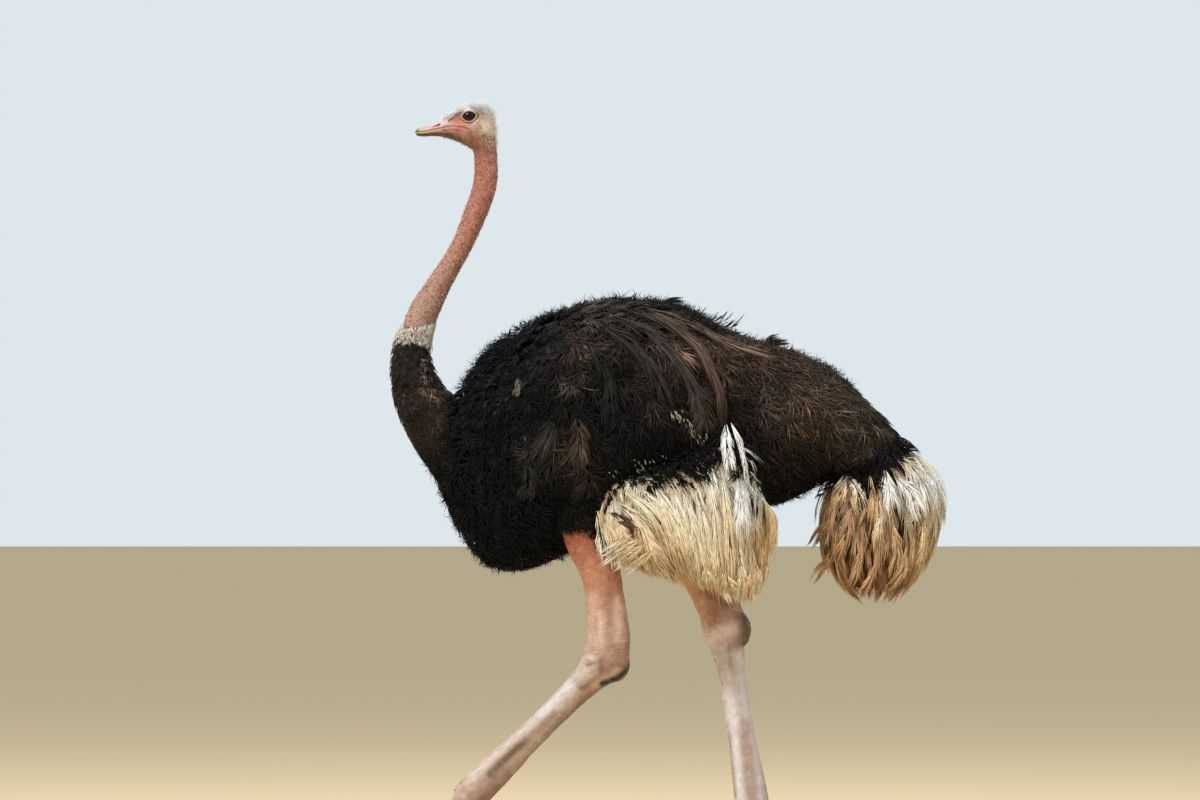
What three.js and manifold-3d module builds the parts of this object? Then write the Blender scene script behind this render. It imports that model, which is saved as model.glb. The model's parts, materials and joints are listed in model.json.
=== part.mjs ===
// Male ostrich in mid-stride: a still, life-size model. Millimetres, +Z up.
// It faces -X, its left side is towards -Y, and it stands on the toes of both feet at Z 0.
import * as THREE from "three";
import { mergeVertices } from "three/addons/utils/BufferGeometryUtils.js";
import Module from "manifold-3d";

const wasm = await Module();
wasm.setup();

// Driving sizes. Heights are above the floor, and lengths run along X.
const SEAM = 0.4; // gap between neighbouring pieces
const BILL_TIP = { x: -700, z: 1893 };
const BILL_LENGTH = 88; // horn of the bill, from its tip to the skin of the face
const EYE = { behind: 145, above: 39, aside: 24.5, radius: 23.5 }; // place from the bill tip
const SHANK_LENGTH = 504; // hock to toe joint
const CLAW_LENGTH = 44;
const REACH = 1500; // cutting blocks are larger than any piece
const CENTRE_LINE = 0;

const FINISH = {
  down: { color: 0xd9c3ae, roughness: 0.9 },
  skin: { color: 0xb5735f, roughness: 0.75 },
  horn: { color: 0xc9998c, roughness: 0.5 },
  eye: { color: 0x140d08, roughness: 0.08 },
  black: { color: 0x14110f, roughness: 0.85 },
  brown: { color: 0x2a201a, roughness: 0.9 },
  white: { color: 0xdcc7a2, roughness: 0.9 },
  tan: { color: 0xa98560, roughness: 0.9 },
  scute: { color: 0xc9a69b, roughness: 0.6 },
  claw: { color: 0x4a3b33, roughness: 0.5 },
};

const vector = (x, y, z) => new THREE.Vector3(x, y, z);

// One row of numbers between the rows of a table, on a smooth curve through them; t runs from 0 to 1.
function between(rows, t) {
  const place = t * (rows.length - 1);
  const first = Math.min(Math.floor(place), rows.length - 2);
  const u = place - first;
  const row = (k) => rows[Math.min(Math.max(k, 0), rows.length - 1)];
  return rows[first].map((value, i) => {
    const [a, c, d] = [row(first - 1)[i], row(first + 1)[i], row(first + 2)[i]];
    const [startSlope, endSlope] = [(c - a) / 2, (d - value) / 2];
    return (
      (2 * u ** 3 - 3 * u ** 2 + 1) * value + (u ** 3 - 2 * u ** 2 + u) * startSlope +
      (3 * u ** 2 - 2 * u ** 3) * c + (u ** 3 - u ** 2) * endSlope
    );
  });
}

const roundPower = (value, power) => Math.sign(value) * Math.abs(value) ** power;

const PLAIN_LOFT = { columns: 16, rings: 12, along: null, square: 2, grow: 0, lobes: [0, 0] };

// A body along a line of stations [x, y, z, upper, lower, side]: the centre of a section and how far it
// reaches up, down and to each side. On a line that runs down, upper is the back and lower the front.
// Sections stand square to the line, or to `along` where it is given. A section of no size is a rounded tip.
// `lobes` gives the number of locks round a section and how deep the grooves between them are.
function loft(stations, options) {
  const { columns, rings, along, square, grow, lobes } = { ...PLAIN_LOFT, ...options };
  const rows = stations.map(([x, y, z, ...reach]) => [x, y, z, ...reach.map((r) => r * r)]);
  const [lobeCount, groove] = lobes;
  const centre = (t) => vector(...between(rows, t));
  const positions = [];
  const closing = [0, 1].map((end) => stations.at(-end)[3] === 0);
  for (let ring = 0; ring <= rings; ring++) {
    const pointed = (ring === 0 && closing[0]) || (ring === rings && closing[1]);
    const t = ring / rings;
    const [x, y, z, upper, lower, side] = between(rows, t);
    const ahead = centre(Math.min(t + 0.01, 1)).sub(centre(Math.max(t - 0.01, 0)));
    const tangent = along ? along.clone() : ahead.normalize();
    const across = vector(0, 1, 0).addScaledVector(tangent, -tangent.y).normalize();
    const up = tangent.clone().cross(across);
    const end = ring === 0 ? -grow : ring === rings ? grow : 0;
    const middle = vector(x, y, z).addScaledVector(ahead.normalize(), end);
    const capped = !pointed && (ring === 0 || ring === rings);
    if (pointed || (capped && ring === 0)) positions.push(...middle);
    if (!pointed) {
      for (let column = 0; column < columns; column++) {
        const angle = (column / columns) * 2 * Math.PI;
        const wave = 1 - groove * (0.5 - 0.5 * Math.cos(lobeCount * angle));
        const rise = roundPower(Math.sin(angle), 2 / square) * wave;
        const reach = Math.sqrt(Math.max(rise > 0 ? upper : lower, 0)) + grow;
        const width = Math.sqrt(Math.max(side, 0)) + grow;
        const spread = roundPower(Math.cos(angle), 2 / square) * width * wave;
        positions.push(
          ...middle.clone().addScaledVector(across, spread).addScaledVector(up, rise * reach),
        );
      }
    }
    if (capped && ring === rings) positions.push(...middle);
  }
  return skinned(positions, columns);
}

// Faces for a first point, full rings of `columns` points and a last point, in that order.
function skinned(positions, columns) {
  const count = positions.length / 3;
  const full = (count - 2) / columns;
  const at = (ring, column) => 1 + ring * columns + (column % columns);
  const faces = [];
  for (let column = 0; column < columns; column++) {
    faces.push(0, at(0, column), at(0, column + 1));
    for (let ring = 0; ring < full - 1; ring++) {
      faces.push(at(ring, column), at(ring + 1, column), at(ring, column + 1));
      faces.push(at(ring, column + 1), at(ring + 1, column), at(ring + 1, column + 1));
    }
    faces.push(at(full - 1, column), count - 1, at(full - 1, column + 1));
  }
  const geometry = new THREE.BufferGeometry();
  geometry.setAttribute("position", new THREE.Float32BufferAttribute(positions, 3));
  geometry.setIndex(faces);
  return solid(geometry);
}

// A closed geometry as a solid that can be joined and cut, its faces turned out.
function solid(geometry) {
  geometry.deleteAttribute("normal");
  geometry.deleteAttribute("uv");
  const merged = mergeVertices(geometry, 1e-4);
  const made = (triVerts) =>
    new wasm.Manifold(
      new wasm.Mesh({ numProp: 3, vertProperties: merged.attributes.position.array, triVerts }),
    );
  const faces = new Uint32Array(merged.index.array);
  const first = made(faces);
  return first.volume() > 0 ? first : made(faces.reverse());
}

const join = (...solids) => solids.reduce((whole, piece) => whole.add(piece));
const cut = (whole, ...tools) => tools.reduce((rest, tool) => rest.subtract(tool), whole);

// The largest body of a solid, without the slivers that a cut leaves.
const largest = (whole) =>
  whole.decompose().reduce((best, piece) => (piece.volume() > best.volume() ? piece : best));

function ball(centre, radii, columns = 14) {
  const sphere = new THREE.SphereGeometry(1, columns, Math.round(columns / 2));
  sphere.rotateX(Math.PI / 2).scale(...radii).translate(...centre);
  return solid(sphere);
}

// The space on the side of a plane that `normal` points to, half a seam away from it.
function beyond(point, normal) {
  const block = new THREE.BoxGeometry(2 * REACH, 2 * REACH, REACH);
  block.translate(0, 0, (REACH + SEAM) / 2);
  const turn = new THREE.Quaternion().setFromUnitVectors(vector(0, 0, 1), normal.clone().normalize());
  block.applyQuaternion(turn).translate(...point);
  return solid(block);
}

// Cuts a solid by planes in a row, into the lengths before, between and after them.
function lengths(whole, planes) {
  const found = [];
  let rest = whole;
  for (const [point, normal] of planes) {
    found.push(largest(rest.intersect(beyond(point, normal.clone().negate()))));
    rest = rest.intersect(beyond(point, normal));
  }
  return [...found, largest(rest)];
}

// ---- Trunk: the body with its coat, in upright sections from the breast to the rump ----
// Each row: x, height of the widest line, back above it, belly below it, half width.
const TRUNK = [
  [-692, 1080, 0, 0, 0],
  [-640, 1082, 70, 118, 78],
  [-580, 1075, 140, 248, 126],
  [-510, 1090, 220, 343, 168],
  [-420, 1120, 257, 388, 200],
  [-300, 1140, 280, 368, 222],
  [-150, 1150, 292, 315, 232],
  [0, 1145, 288, 272, 230],
  [130, 1130, 234, 240, 218],
  [260, 1115, 207, 208, 196],
  [380, 1095, 182, 132, 160],
  [480, 1065, 132, 104, 120],
  [565, 1030, 80, 64, 78],
  [612, 1012, 0, 0, 0],
].map(([x, z, upper, lower, side]) => [x, CENTRE_LINE, z, upper, lower, side]);
const FORWARDS = vector(1, 0, 0);
const trunkForm = (grow = 0) => loft(TRUNK, { columns: 22, rings: 18, along: FORWARDS, square: 2.15, grow });

// ---- Neck: an S from the nape down to the breast ----
// Each row: x, z, half depth, half width.
const NECK = [
  [-517, 1880, 33, 30],
  [-511, 1805, 33, 30],
  [-516, 1745, 33, 30],
  [-543, 1668, 32, 29],
  [-580, 1583, 29, 27],
  [-631, 1497, 33, 31],
  [-676, 1415, 41, 38],
  [-703, 1343, 49, 46],
  [-708, 1270, 61, 56],
  [-688, 1195, 73, 68],
  [-644, 1122, 86, 84],
  [-585, 1050, 96, 104],
  [-520, 1000, 120, 120],
].map(([x, z, depth, side]) => [x, CENTRE_LINE, z, depth, depth, side]);
const neckForm = (grow = 0) => loft(NECK, { columns: 12, rings: 18, grow });

// The plane across the neck at a station, facing down it.
function acrossNeck(t) {
  const [at, next] = [between(NECK, t), between(NECK, t + 0.02)].map((row) => vector(...row));
  return [at, next.sub(at).normalize()];
}

// ---- Head: upright sections from the bill back to the nape ----
// Each row: behind the bill tip, top, bottom and mid height from the tip's, half width.
const HEAD = [
  [BILL_LENGTH + SEAM, 41, -16, 12, 29],
  [109, 56, -25, 14, 35],
  [128, 66, -35, 16, 41],
  [147, 73, -45, 18, 45],
  [166, 76, -56, 18, 44],
  [184, 72, -60, 16, 40],
  [200, 58, -54, 12, 33],
  [210, 41, -42, 6, 24],
  [217, 0, 0, 0, 0],
];
// The line where the bill closes: behind the tip, height from the tip's.
const MOUTH = [
  [0, -1],
  [30, 1],
  [60, 7],
  [BILL_LENGTH, 12],
];
// Each row: behind the bill tip, top of the upper half, bottom of the lower half, half width.
const BILL = [
  [0, -1, -1, 0],
  [6, 7, -9, 12],
  [22, 14, -12, 18],
  [44, 20, -11, 22],
  [66, 28, -12, 26],
  [BILL_LENGTH, 41, -16, 29],
];

const fromTip = (behind, height) => [BILL_TIP.x + behind, CENTRE_LINE, BILL_TIP.z + height];

function headForm() {
  const rows = HEAD.map(([behind, top, bottom, middle, side]) => [
    ...fromTip(behind, middle), side ? top - middle : 0, side ? middle - bottom : 0, side,
  ]);
  return loft(rows, { columns: 16, rings: 12, along: FORWARDS });
}

// One half of the bill: the whole bill's form, kept on its side of the mouth line.
function billHalf(upper) {
  const rows = BILL.map(([behind, top, bottom, side]) => {
    const middle = between(MOUTH, behind / BILL_LENGTH)[1];
    return [...fromTip(behind, middle), side ? top - middle : 0, side ? middle - bottom : 0, side];
  });
  const whole = loft(rows, { columns: 14, rings: 8, along: FORWARDS, square: 2.3 });
  const gap = upper ? SEAM / 2 : -SEAM / 2;
  const outline = MOUTH.map(([behind, height]) => fromTip(behind, height + gap));
  const [first, last] = [outline[0], outline.at(-1)];
  const far = upper ? REACH : -REACH;
  const side = new THREE.Shape();
  side.moveTo(first[0] - REACH, first[2]);
  outline.forEach(([x, , z]) => side.lineTo(x, z));
  side.lineTo(last[0] + REACH, last[2]);
  side.lineTo(last[0] + REACH, last[2] + far);
  side.lineTo(first[0] - REACH, first[2] + far);
  const block = new THREE.ExtrudeGeometry(side, { depth: REACH, bevelEnabled: false });
  block.rotateX(Math.PI / 2).translate(0, REACH / 2, 0);
  return largest(whole.intersect(solid(block)));
}

const eyeForm = (side, grow = 0) => {
  const [x, , z] = fromTip(EYE.behind, EYE.above);
  const radius = EYE.radius + grow;
  return ball([x, side * EYE.aside, z], [radius, radius, radius]);
};

// ---- Wings: cushions of covert feathers laid on the flanks ----
// Low and high are degrees round the trunk.
const WING = { front: -505, rear: 135, low: -38, high: 74, thick: 52 };

// A flattened ball wrapped on the trunk: its length runs along X, its height round the trunk.
function wingForm(side, grow = 0) {
  const sphere = new THREE.SphereGeometry(1, 18, 10);
  const place = sphere.attributes.position;
  const [length, height] = [(WING.rear - WING.front) / 2, (WING.high - WING.low) / 2];
  for (let i = 0; i < place.count; i++) {
    const x = (WING.rear + WING.front) / 2 + place.getX(i) * (length + grow);
    const turn = THREE.MathUtils.degToRad((WING.high + WING.low) / 2 + place.getY(i) * (height + grow / 4));
    const row = trunkSection(x);
    const [reach, width] = [turn > 0 ? row[3] : row[4], row[5]];
    const out = 1 + (place.getZ(i) * (WING.thick + grow)) / width;
    place.setXYZ(i, x, side * width * Math.cos(turn) * out, row[2] + reach * Math.sin(turn) * out);
  }
  return solid(sphere);
}

// The trunk's section at a given x: [x, y, z, upper, lower, side].
function trunkSection(x) {
  const squares = TRUNK.map(([a, b, c, ...reach]) => [a, b, c, ...reach.map((r) => r * r)]);
  let [low, high] = [0, 1];
  for (let i = 0; i < 30; i++) {
    const t = (low + high) / 2;
    if (between(squares, t)[0] < x) low = t;
    else high = t;
  }
  return between(squares, low).map((value, i) => (i > 2 ? Math.sqrt(Math.max(value, 0)) : value));
}

// ---- Plumes: white feathers hanging below each wing's rear edge, in level sections ----
// Each row: z, front x, rear x, distance from the centre line, half thickness.
const WING_PLUMES = [
  [1150, 90, 150, 215, 0],
  [1060, 40, 215, 212, 40],
  [965, -175, 215, 190, 76],
  [885, -215, 245, 172, 88],
  [790, -205, 245, 160, 82],
  [735, -90, 230, 158, 64],
  [690, 95, 212, 165, 34],
  [668, 120, 195, 168, 0],
];
const DOWNWARDS = vector(0, 0, -1);

function hanging(rows, side, options) {
  const stations = rows.map(([z, front, rear, aside, thick]) => {
    const half = thick ? (rear - front) / 2 : 0;
    return [(front + rear) / 2, side * aside, z, half, half, thick];
  });
  return loft(stations, { along: DOWNWARDS, square: 2.4, ...options });
}

// ---- Tail: a drooping bush of plumes ----
const TAIL = [
  [1150, 430, 500, 0, 0],
  [1090, 430, 582, 0, 70],
  [1010, 410, 650, 0, 112],
  [930, 372, 692, 0, 140],
  [850, 366, 697, 0, 150],
  [770, 378, 668, 0, 142],
  [700, 418, 620, 0, 112],
  [655, 482, 570, 0, 62],
  [642, 515, 555, 0, 0],
];

// ---- Legs ----
// Each row: distance above the hock, reach back, reach front, half width.
const THIGH = [
  [520, 0, 0, 0],
  [460, 90, 104, 70],
  [330, 74, 82, 72],
  [240, 60, 48, 56],
  [150, 64, 38, 44],
  [70, 70, 44, 38],
  [0, 60, 62, 38],
  [-46, 0, 0, 0],
];
// Each row: distance below the hock, reach back, reach front, half width.
const SHANK = [
  [-44, 0, 0, 0],
  [-10, 50, 62, 38],
  [55, 40, 48, 34],
  [140, 33, 37, 28],
  [300, 35, 37, 28],
  [420, 44, 43, 33],
  [SHANK_LENGTH, 44, 44, 38],
  [SHANK_LENGTH + 34, 0, 0, 0],
];
// Each row: forward of the toe joint, outwards, half height, half width.
const LARGE_TOE = [
  [-22, 0, 0, 0],
  [0, 0, 33, 33],
  [40, 0, 29, 27],
  [84, -1, 25, 28],
  [128, -2, 23, 27],
  [160, -3, 19, 23],
  [182, -4, 0, 0],
];
const SMALL_TOE = [
  [-18, 4, 0, 0],
  [0, 16, 22, 20],
  [44, 44, 20, 18],
  [84, 62, 17, 17],
  [112, 70, 13, 14],
  [128, 73, 0, 0],
];
const CLAW = [
  [160, -3, 0, 0],
  [170, -3, 13, 12],
  [190, -4, 10, 10],
  [172 + CLAW_LENGTH, -5, 0, 0],
];
const SOLE_DEPTH = 3; // how much of a toe's round underside the floor levels off
const HEEL = { back: 24, down: -4, radii: [42, 33, 52] }; // the callus behind the hock

// Each leg's knee end, hock and toe joint, how far ahead of the toe joint its toes lie flat, and its yaw.
const STRIDE = {
  left: {
    side: -1, top: [-240, -116, 1040], hock: [-195, -112, 484], toe: [-556, -98, 134], flat: 118, yaw: 3,
  },
  right: {
    side: 1, top: [-88, 116, 950], hock: [127, 84, 567], toe: [199, 16, 76], flat: 92, yaw: 6,
  },
};

// A limb along a straight bone from `start` towards `end`, from rows [distance, back, front, half width].
function limb(start, end, rows, grow) {
  const way = vector(...end).sub(vector(...start)).normalize();
  const stations = rows.map(([distance, back, front, side]) => [
    ...vector(...start).addScaledVector(way, distance), back, front, side,
  ]);
  return loft(stations, { columns: 10, rings: 12, grow });
}

// A toe that slopes down from the toe joint and lies flat from `leg.flat` on.
function toeForm(leg, rows, grow = 0) {
  const [x, y, z] = leg.toe;
  const yaw = THREE.MathUtils.degToRad(leg.yaw);
  const stations = rows.map(([forward, out, high, side], i) => {
    const rest = Math.max(high, rows[Math.min(i + 1, rows.length - 1)][2] / 2, 9) - SOLE_DEPTH;
    const slope = (1 - Math.min(Math.max(forward, 0) / leg.flat, 1)) ** 2;
    const ahead = forward * Math.cos(yaw) - out * Math.sin(yaw);
    const aside = out * Math.cos(yaw) + forward * Math.sin(yaw);
    return [x - ahead, y + leg.side * aside, rest + (z - rest) * slope, high, high, side];
  });
  return loft(stations, { columns: 10, rings: 8, square: 2.3, grow });
}

const thighForm = (leg, grow = 0) => limb(leg.hock, leg.top, THIGH, grow);

// Thigh, shank, foot, small toe and claw of one leg, parted from whole forms, with level soles at the floor.
function legPieces(leg) {
  const [hock, toe] = [leg.hock, leg.toe];
  const floor = beyond(vector(0, 0, -SEAM / 2), vector(0, 0, 1));
  const heel = ball([hock[0] + HEEL.back, hock[1], hock[2] - HEEL.down], HEEL.radii);
  const whole = join(thighForm(leg), limb(hock, toe, SHANK, 0), heel);
  const [start, bend, end] = [leg.top, hock, toe].map((place) => vector(...place));
  const thighWay = bend.clone().sub(start).normalize();
  const shankWay = end.clone().sub(bend).normalize();
  const atHock = [bend.clone().addScaledVector(thighWay, -30), thighWay.clone().add(shankWay)];
  const atFoot = [end.clone().addScaledVector(shankWay, -34), shankWay];
  const [thigh, shank, joint] = lengths(whole, [atHock, atFoot]);
  const foot = cut(join(joint, toeForm(leg, LARGE_TOE)), toeForm(leg, CLAW, SEAM)).intersect(floor);
  const smallToe = cut(toeForm(leg, SMALL_TOE), join(joint, toeForm(leg, LARGE_TOE, SEAM))).intersect(floor);
  return { thigh, shank, foot, small_toe: smallToe, claw: toeForm(leg, CLAW).intersect(floor) };
}

// ---- Putting the bird together ----
const material = (name) => new THREE.MeshStandardMaterial({ metalness: 0, ...FINISH[name] });

function meshOf(name, whole, finish) {
  const { numProp, vertProperties, triVerts } = whole.getMesh();
  const geometry = new THREE.BufferGeometry();
  const places = new Float32Array(triVerts.length * 3);
  triVerts.forEach((vertex, i) => {
    places.set(vertProperties.subarray(vertex * numProp, vertex * numProp + 3), i * 3);
  });
  geometry.setAttribute("position", new THREE.BufferAttribute(places, 3));
  geometry.computeVertexNormals();
  const mesh = new THREE.Mesh(geometry, material(finish));
  mesh.name = name;
  return mesh;
}

const bird = new THREE.Group();
const add = (name, whole, finish) => bird.add(meshOf(name, largest(whole), finish));

const SIDES = { left: -1, right: 1 };
const wings = Object.values(SIDES).map((side) => wingForm(side));
const grownWings = Object.values(SIDES).map((side) => wingForm(side, SEAM));

// Places of the cuts down the neck, in stations of its table: the nape, two in the bare neck and one in
// the white ring.
const NECK_CUTS = [0.62, 2.6, 4.8, 7.1].map((station) => acrossNeck(station / (NECK.length - 1)));
const [napePoint, downNeck] = NECK_CUTS[0];
const headAndNeck = join(headForm(), neckForm());
const skull = headAndNeck.intersect(beyond(napePoint, downNeck.clone().negate()));
const [, neckTop, neckMiddle, neckLow, neckBase] = lengths(neckForm(), NECK_CUTS);

add("head", cut(skull, eyeForm(-1, SEAM), eyeForm(1, SEAM)), "down");
add("bill_upper", billHalf(true), "horn");
add("bill_lower", billHalf(false), "horn");
add("neck_top", neckTop, "skin");
add("neck_middle", neckMiddle, "skin");
add("neck_low", neckLow, "skin");

add("neck_base", cut(neckBase, trunkForm(SEAM), ...grownWings), "brown");
add("trunk", cut(trunkForm(), ...grownWings), "black");
const body = trunkForm(SEAM);
add("tail", cut(hanging(TAIL, 0, { columns: 24, rings: 11, lobes: [8, 0.12] }), body), "tan");

for (const [name, side] of Object.entries(SIDES)) {
  const leg = STRIDE[name];
  add(`eye_${name}`, eyeForm(side), "eye");
  add(`wing_${name}`, wings[side < 0 ? 0 : 1], "black");
  const plumes = hanging(WING_PLUMES, side, { columns: 20, rings: 9, lobes: [10, 0.08] });
  add(`plumes_${name}`, cut(plumes, body, ...grownWings, thighForm(leg, SEAM)), "white");
  const { thigh, shank, foot, small_toe, claw } = legPieces(leg);
  add(`thigh_${name}`, cut(thigh, body), "skin");
  add(`shank_${name}`, shank, "scute");
  add(`foot_${name}`, foot, "scute");
  add(`small_toe_${name}`, small_toe, "scute");
  add(`claw_${name}`, claw, "claw");
}

// The origin is the middle of the floor under the bird.
const bounds = new THREE.Box3().setFromObject(bird);
bird.position.set(-(bounds.min.x + bounds.max.x) / 2, -(bounds.min.y + bounds.max.y) / 2, -bounds.min.z);

export default bird;
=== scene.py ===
# %% [markdown]
# # A male ostrich in mid-stride
# A life-size, still model of a cock ostrich, as a museum would show it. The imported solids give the
# frame: every piece below is made in metres, where the solids are. The order is: camera and light,
# the smooth forms under everything, one bare skin, bill, eyes and claws, and then the feathers.

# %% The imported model
import itertools
import json
import math

import bmesh
import bpy
import numpy as np
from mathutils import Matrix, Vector
from mathutils.bvhtree import BVHTree
from mathutils.kdtree import KDTree

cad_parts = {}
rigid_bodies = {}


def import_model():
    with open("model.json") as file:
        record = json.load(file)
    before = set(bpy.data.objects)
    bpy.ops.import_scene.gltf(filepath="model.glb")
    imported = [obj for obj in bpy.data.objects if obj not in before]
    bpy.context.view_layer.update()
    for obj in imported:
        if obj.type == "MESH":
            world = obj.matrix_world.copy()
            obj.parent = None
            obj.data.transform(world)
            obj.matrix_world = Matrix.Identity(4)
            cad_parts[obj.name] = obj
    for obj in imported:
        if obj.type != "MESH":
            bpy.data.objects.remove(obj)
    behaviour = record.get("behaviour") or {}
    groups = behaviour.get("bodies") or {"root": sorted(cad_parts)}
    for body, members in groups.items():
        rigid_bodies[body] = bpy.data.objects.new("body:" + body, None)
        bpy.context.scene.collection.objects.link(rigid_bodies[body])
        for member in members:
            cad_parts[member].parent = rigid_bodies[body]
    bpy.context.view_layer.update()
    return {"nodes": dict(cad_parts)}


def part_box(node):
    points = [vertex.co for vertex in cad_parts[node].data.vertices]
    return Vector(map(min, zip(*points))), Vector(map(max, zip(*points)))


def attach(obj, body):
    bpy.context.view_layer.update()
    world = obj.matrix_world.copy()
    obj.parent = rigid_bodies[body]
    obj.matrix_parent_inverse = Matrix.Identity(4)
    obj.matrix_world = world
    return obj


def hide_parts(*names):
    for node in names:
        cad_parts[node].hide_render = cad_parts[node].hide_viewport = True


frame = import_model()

MM = 0.001

# %% [markdown]
# ## Camera, floor and light
# A long lens far away flattens the bird, as it does for anyone who watches one on a plain. The camera
# stands at chest height and looks up by about a degree, so the feet fall below the picture.

# %% Camera
CAMERA_AWAY = 17.67
CAMERA_HEIGHT = 0.829
AIM = (-0.17235, 1.1819)  # X and Z at the middle of the picture

camera_data = bpy.data.cameras.new("camera")
camera_data.lens = 200
camera_data.sensor_width = 36
camera_data.clip_end = 2000
camera = bpy.data.objects.new("camera", camera_data)
camera.location = (AIM[0], -CAMERA_AWAY, CAMERA_HEIGHT)
camera.rotation_euler = (math.pi / 2 + math.atan((AIM[1] - CAMERA_HEIGHT) / CAMERA_AWAY), 0, 0)
bpy.context.scene.collection.objects.link(camera)
bpy.context.scene.camera = camera
bpy.context.scene.view_settings.view_transform = "Standard"


# %% [markdown]
# Colours are written as they look on a screen, and a small helper turns them into the linear light
# values that a renderer mixes.

# %% Colours
def tint(*screen):
    """Linear colour of red, green and blue as seen on a screen, from 0 to 255."""
    level = np.array(screen, float) / 255
    return np.where(level <= 0.04045, level / 12.92, ((level + 0.055) / 1.055) ** 2.4)


def laid(colour, mask, over):
    """Colours with another colour laid over them, by a mask from 0 to 1 for each of them."""
    mask = np.clip(mask, 0, 1)[:, None]
    return colour * (1 - mask) + over * mask


# %% [markdown]
# The floor is wide and plain, so that its far edge makes the horizon. A large soft lamp high on the
# bird's left, a little ahead of it, stands for a bright veiled sky, and the world fills the shadows.

# %% Floor, sky and lamps
def plain_material(name, colour, roughness):
    """A matt material of one colour, for the stage."""
    material = bpy.data.materials.new(name)
    material.use_nodes = True
    shader = material.node_tree.nodes["Principled BSDF"]
    shader.inputs["Base Color"].default_value = (*colour, 1)
    shader.inputs["Roughness"].default_value = roughness
    shader.inputs["Specular IOR Level"].default_value = 0.0
    return material


FLOOR_REACH = 400
FLOOR_CORNERS = ((-1, -1), (1, -1), (1, 1), (-1, 1))
floor_mesh = bpy.data.meshes.new("floor")
floor_mesh.from_pydata([(x * FLOOR_REACH, y * FLOOR_REACH, 0) for x, y in FLOOR_CORNERS], [], [(0, 1, 2, 3)])
floor_mesh.materials.append(plain_material("floor", tint(208, 186, 150), 0.95))
floor = bpy.data.objects.new("floor", floor_mesh)
bpy.context.scene.collection.objects.link(floor)

world = bpy.data.worlds.new("sky")
world.use_nodes = True
sky = world.node_tree.nodes["Background"]
sky.inputs["Color"].default_value = (*tint(221, 231, 236), 1)
sky.inputs["Strength"].default_value = 1.0
bpy.context.scene.world = world


def lamp(name, place, aim, size, power, colour):
    """A round soft lamp that looks at `aim`."""
    data = bpy.data.lights.new(name, "AREA")
    data.shape = "DISK"
    data.size = size
    data.energy = power
    data.color = colour
    made = bpy.data.objects.new(name, data)
    made.location = place
    made.rotation_euler = (Vector(aim) - Vector(place)).to_track_quat("-Z", "Y").to_euler()
    bpy.context.scene.collection.objects.link(made)


lamp("key", (-5.0, -5.5, 7.5), (0, 0, 1.1), 2.4, 620, (1.0, 0.975, 0.94))
lamp("top", (0.6, 0.5, 7.0), (0, 0, 1.2), 5.0, 260, (0.93, 0.97, 1.0))
print("stage, sky and two lamps")

# %% [markdown]
# ## The forms under everything
# Each part of the bird is a smooth form: sections along a line, each with a reach to the back, to the
# front and to the sides. The skin, the coat and the plumes are all measured from these forms, so they
# fit each other. The tables hold millimetres on the bird's own lines, as the solids do.

# %% Places that the solids give
EYE_BEHIND, EYE_ABOVE, EYE_ASIDE, EYE_RADIUS = 145, 39, 24.5, 23.5
TIP_X, TIP_Z = -700, 1893  # bill tip, before the shift
BREAST = -692  # the trunk's foremost point on the bird's own lines
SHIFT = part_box("trunk")[0][0] / MM - BREAST
print(f"the bird's lines lie {SHIFT:.1f} mm along X")

# %% Tables of the forms
# x, height of the widest line, back above it, belly below it, half width
TRUNK = [
    (-692, 1080, 0, 0, 0), (-640, 1082, 70, 118, 78), (-580, 1075, 140, 248, 126),
    (-510, 1090, 220, 343, 168), (-420, 1120, 257, 388, 200), (-300, 1140, 280, 368, 222),
    (-150, 1150, 292, 315, 232), (0, 1145, 288, 272, 230), (130, 1130, 234, 240, 218),
    (260, 1115, 207, 208, 196), (380, 1095, 182, 132, 160), (480, 1065, 132, 104, 120),
    (565, 1030, 80, 64, 78), (612, 1012, 0, 0, 0),
]
# x, z, half depth, half width
NECK = [
    (-517, 1880, 33, 30), (-511, 1805, 33, 30), (-516, 1745, 33, 30), (-543, 1668, 32, 29),
    (-580, 1583, 29, 27), (-631, 1497, 33, 31), (-676, 1415, 41, 38), (-703, 1343, 49, 46),
    (-708, 1270, 61, 56), (-688, 1195, 73, 68), (-644, 1122, 86, 84), (-585, 1050, 96, 104),
    (-520, 1000, 120, 120),
]
# behind the bill tip, top, bottom and middle height from the tip's, half width
HEAD = [
    (73, 33.5, -14.5, 10, 27.6), (88, 41.5, -16.5, 12, 29.6), (109, 56, -25, 14, 35),
    (128, 66, -35, 16, 41), (147, 73, -45, 18, 45), (166, 76, -56, 18, 44), (184, 72, -60, 16, 40),
    (200, 58, -54, 12, 33), (210, 41, -42, 6, 24), (217, 0, 0, 0, 0),
]
# above the hock or below it: distance, reach back, reach front, half width
THIGH = [
    (520, 0, 0, 0), (460, 90, 104, 70), (330, 74, 82, 72), (240, 60, 48, 56), (150, 64, 38, 44),
    (70, 70, 44, 38), (0, 60, 62, 38), (-46, 0, 0, 0),
]
SHANK = [
    (-44, 0, 0, 0), (-10, 50, 62, 38), (55, 40, 48, 34), (140, 33, 37, 28), (300, 35, 37, 28),
    (420, 44, 43, 33), (504, 44, 44, 38), (538, 0, 0, 0),
]
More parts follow.
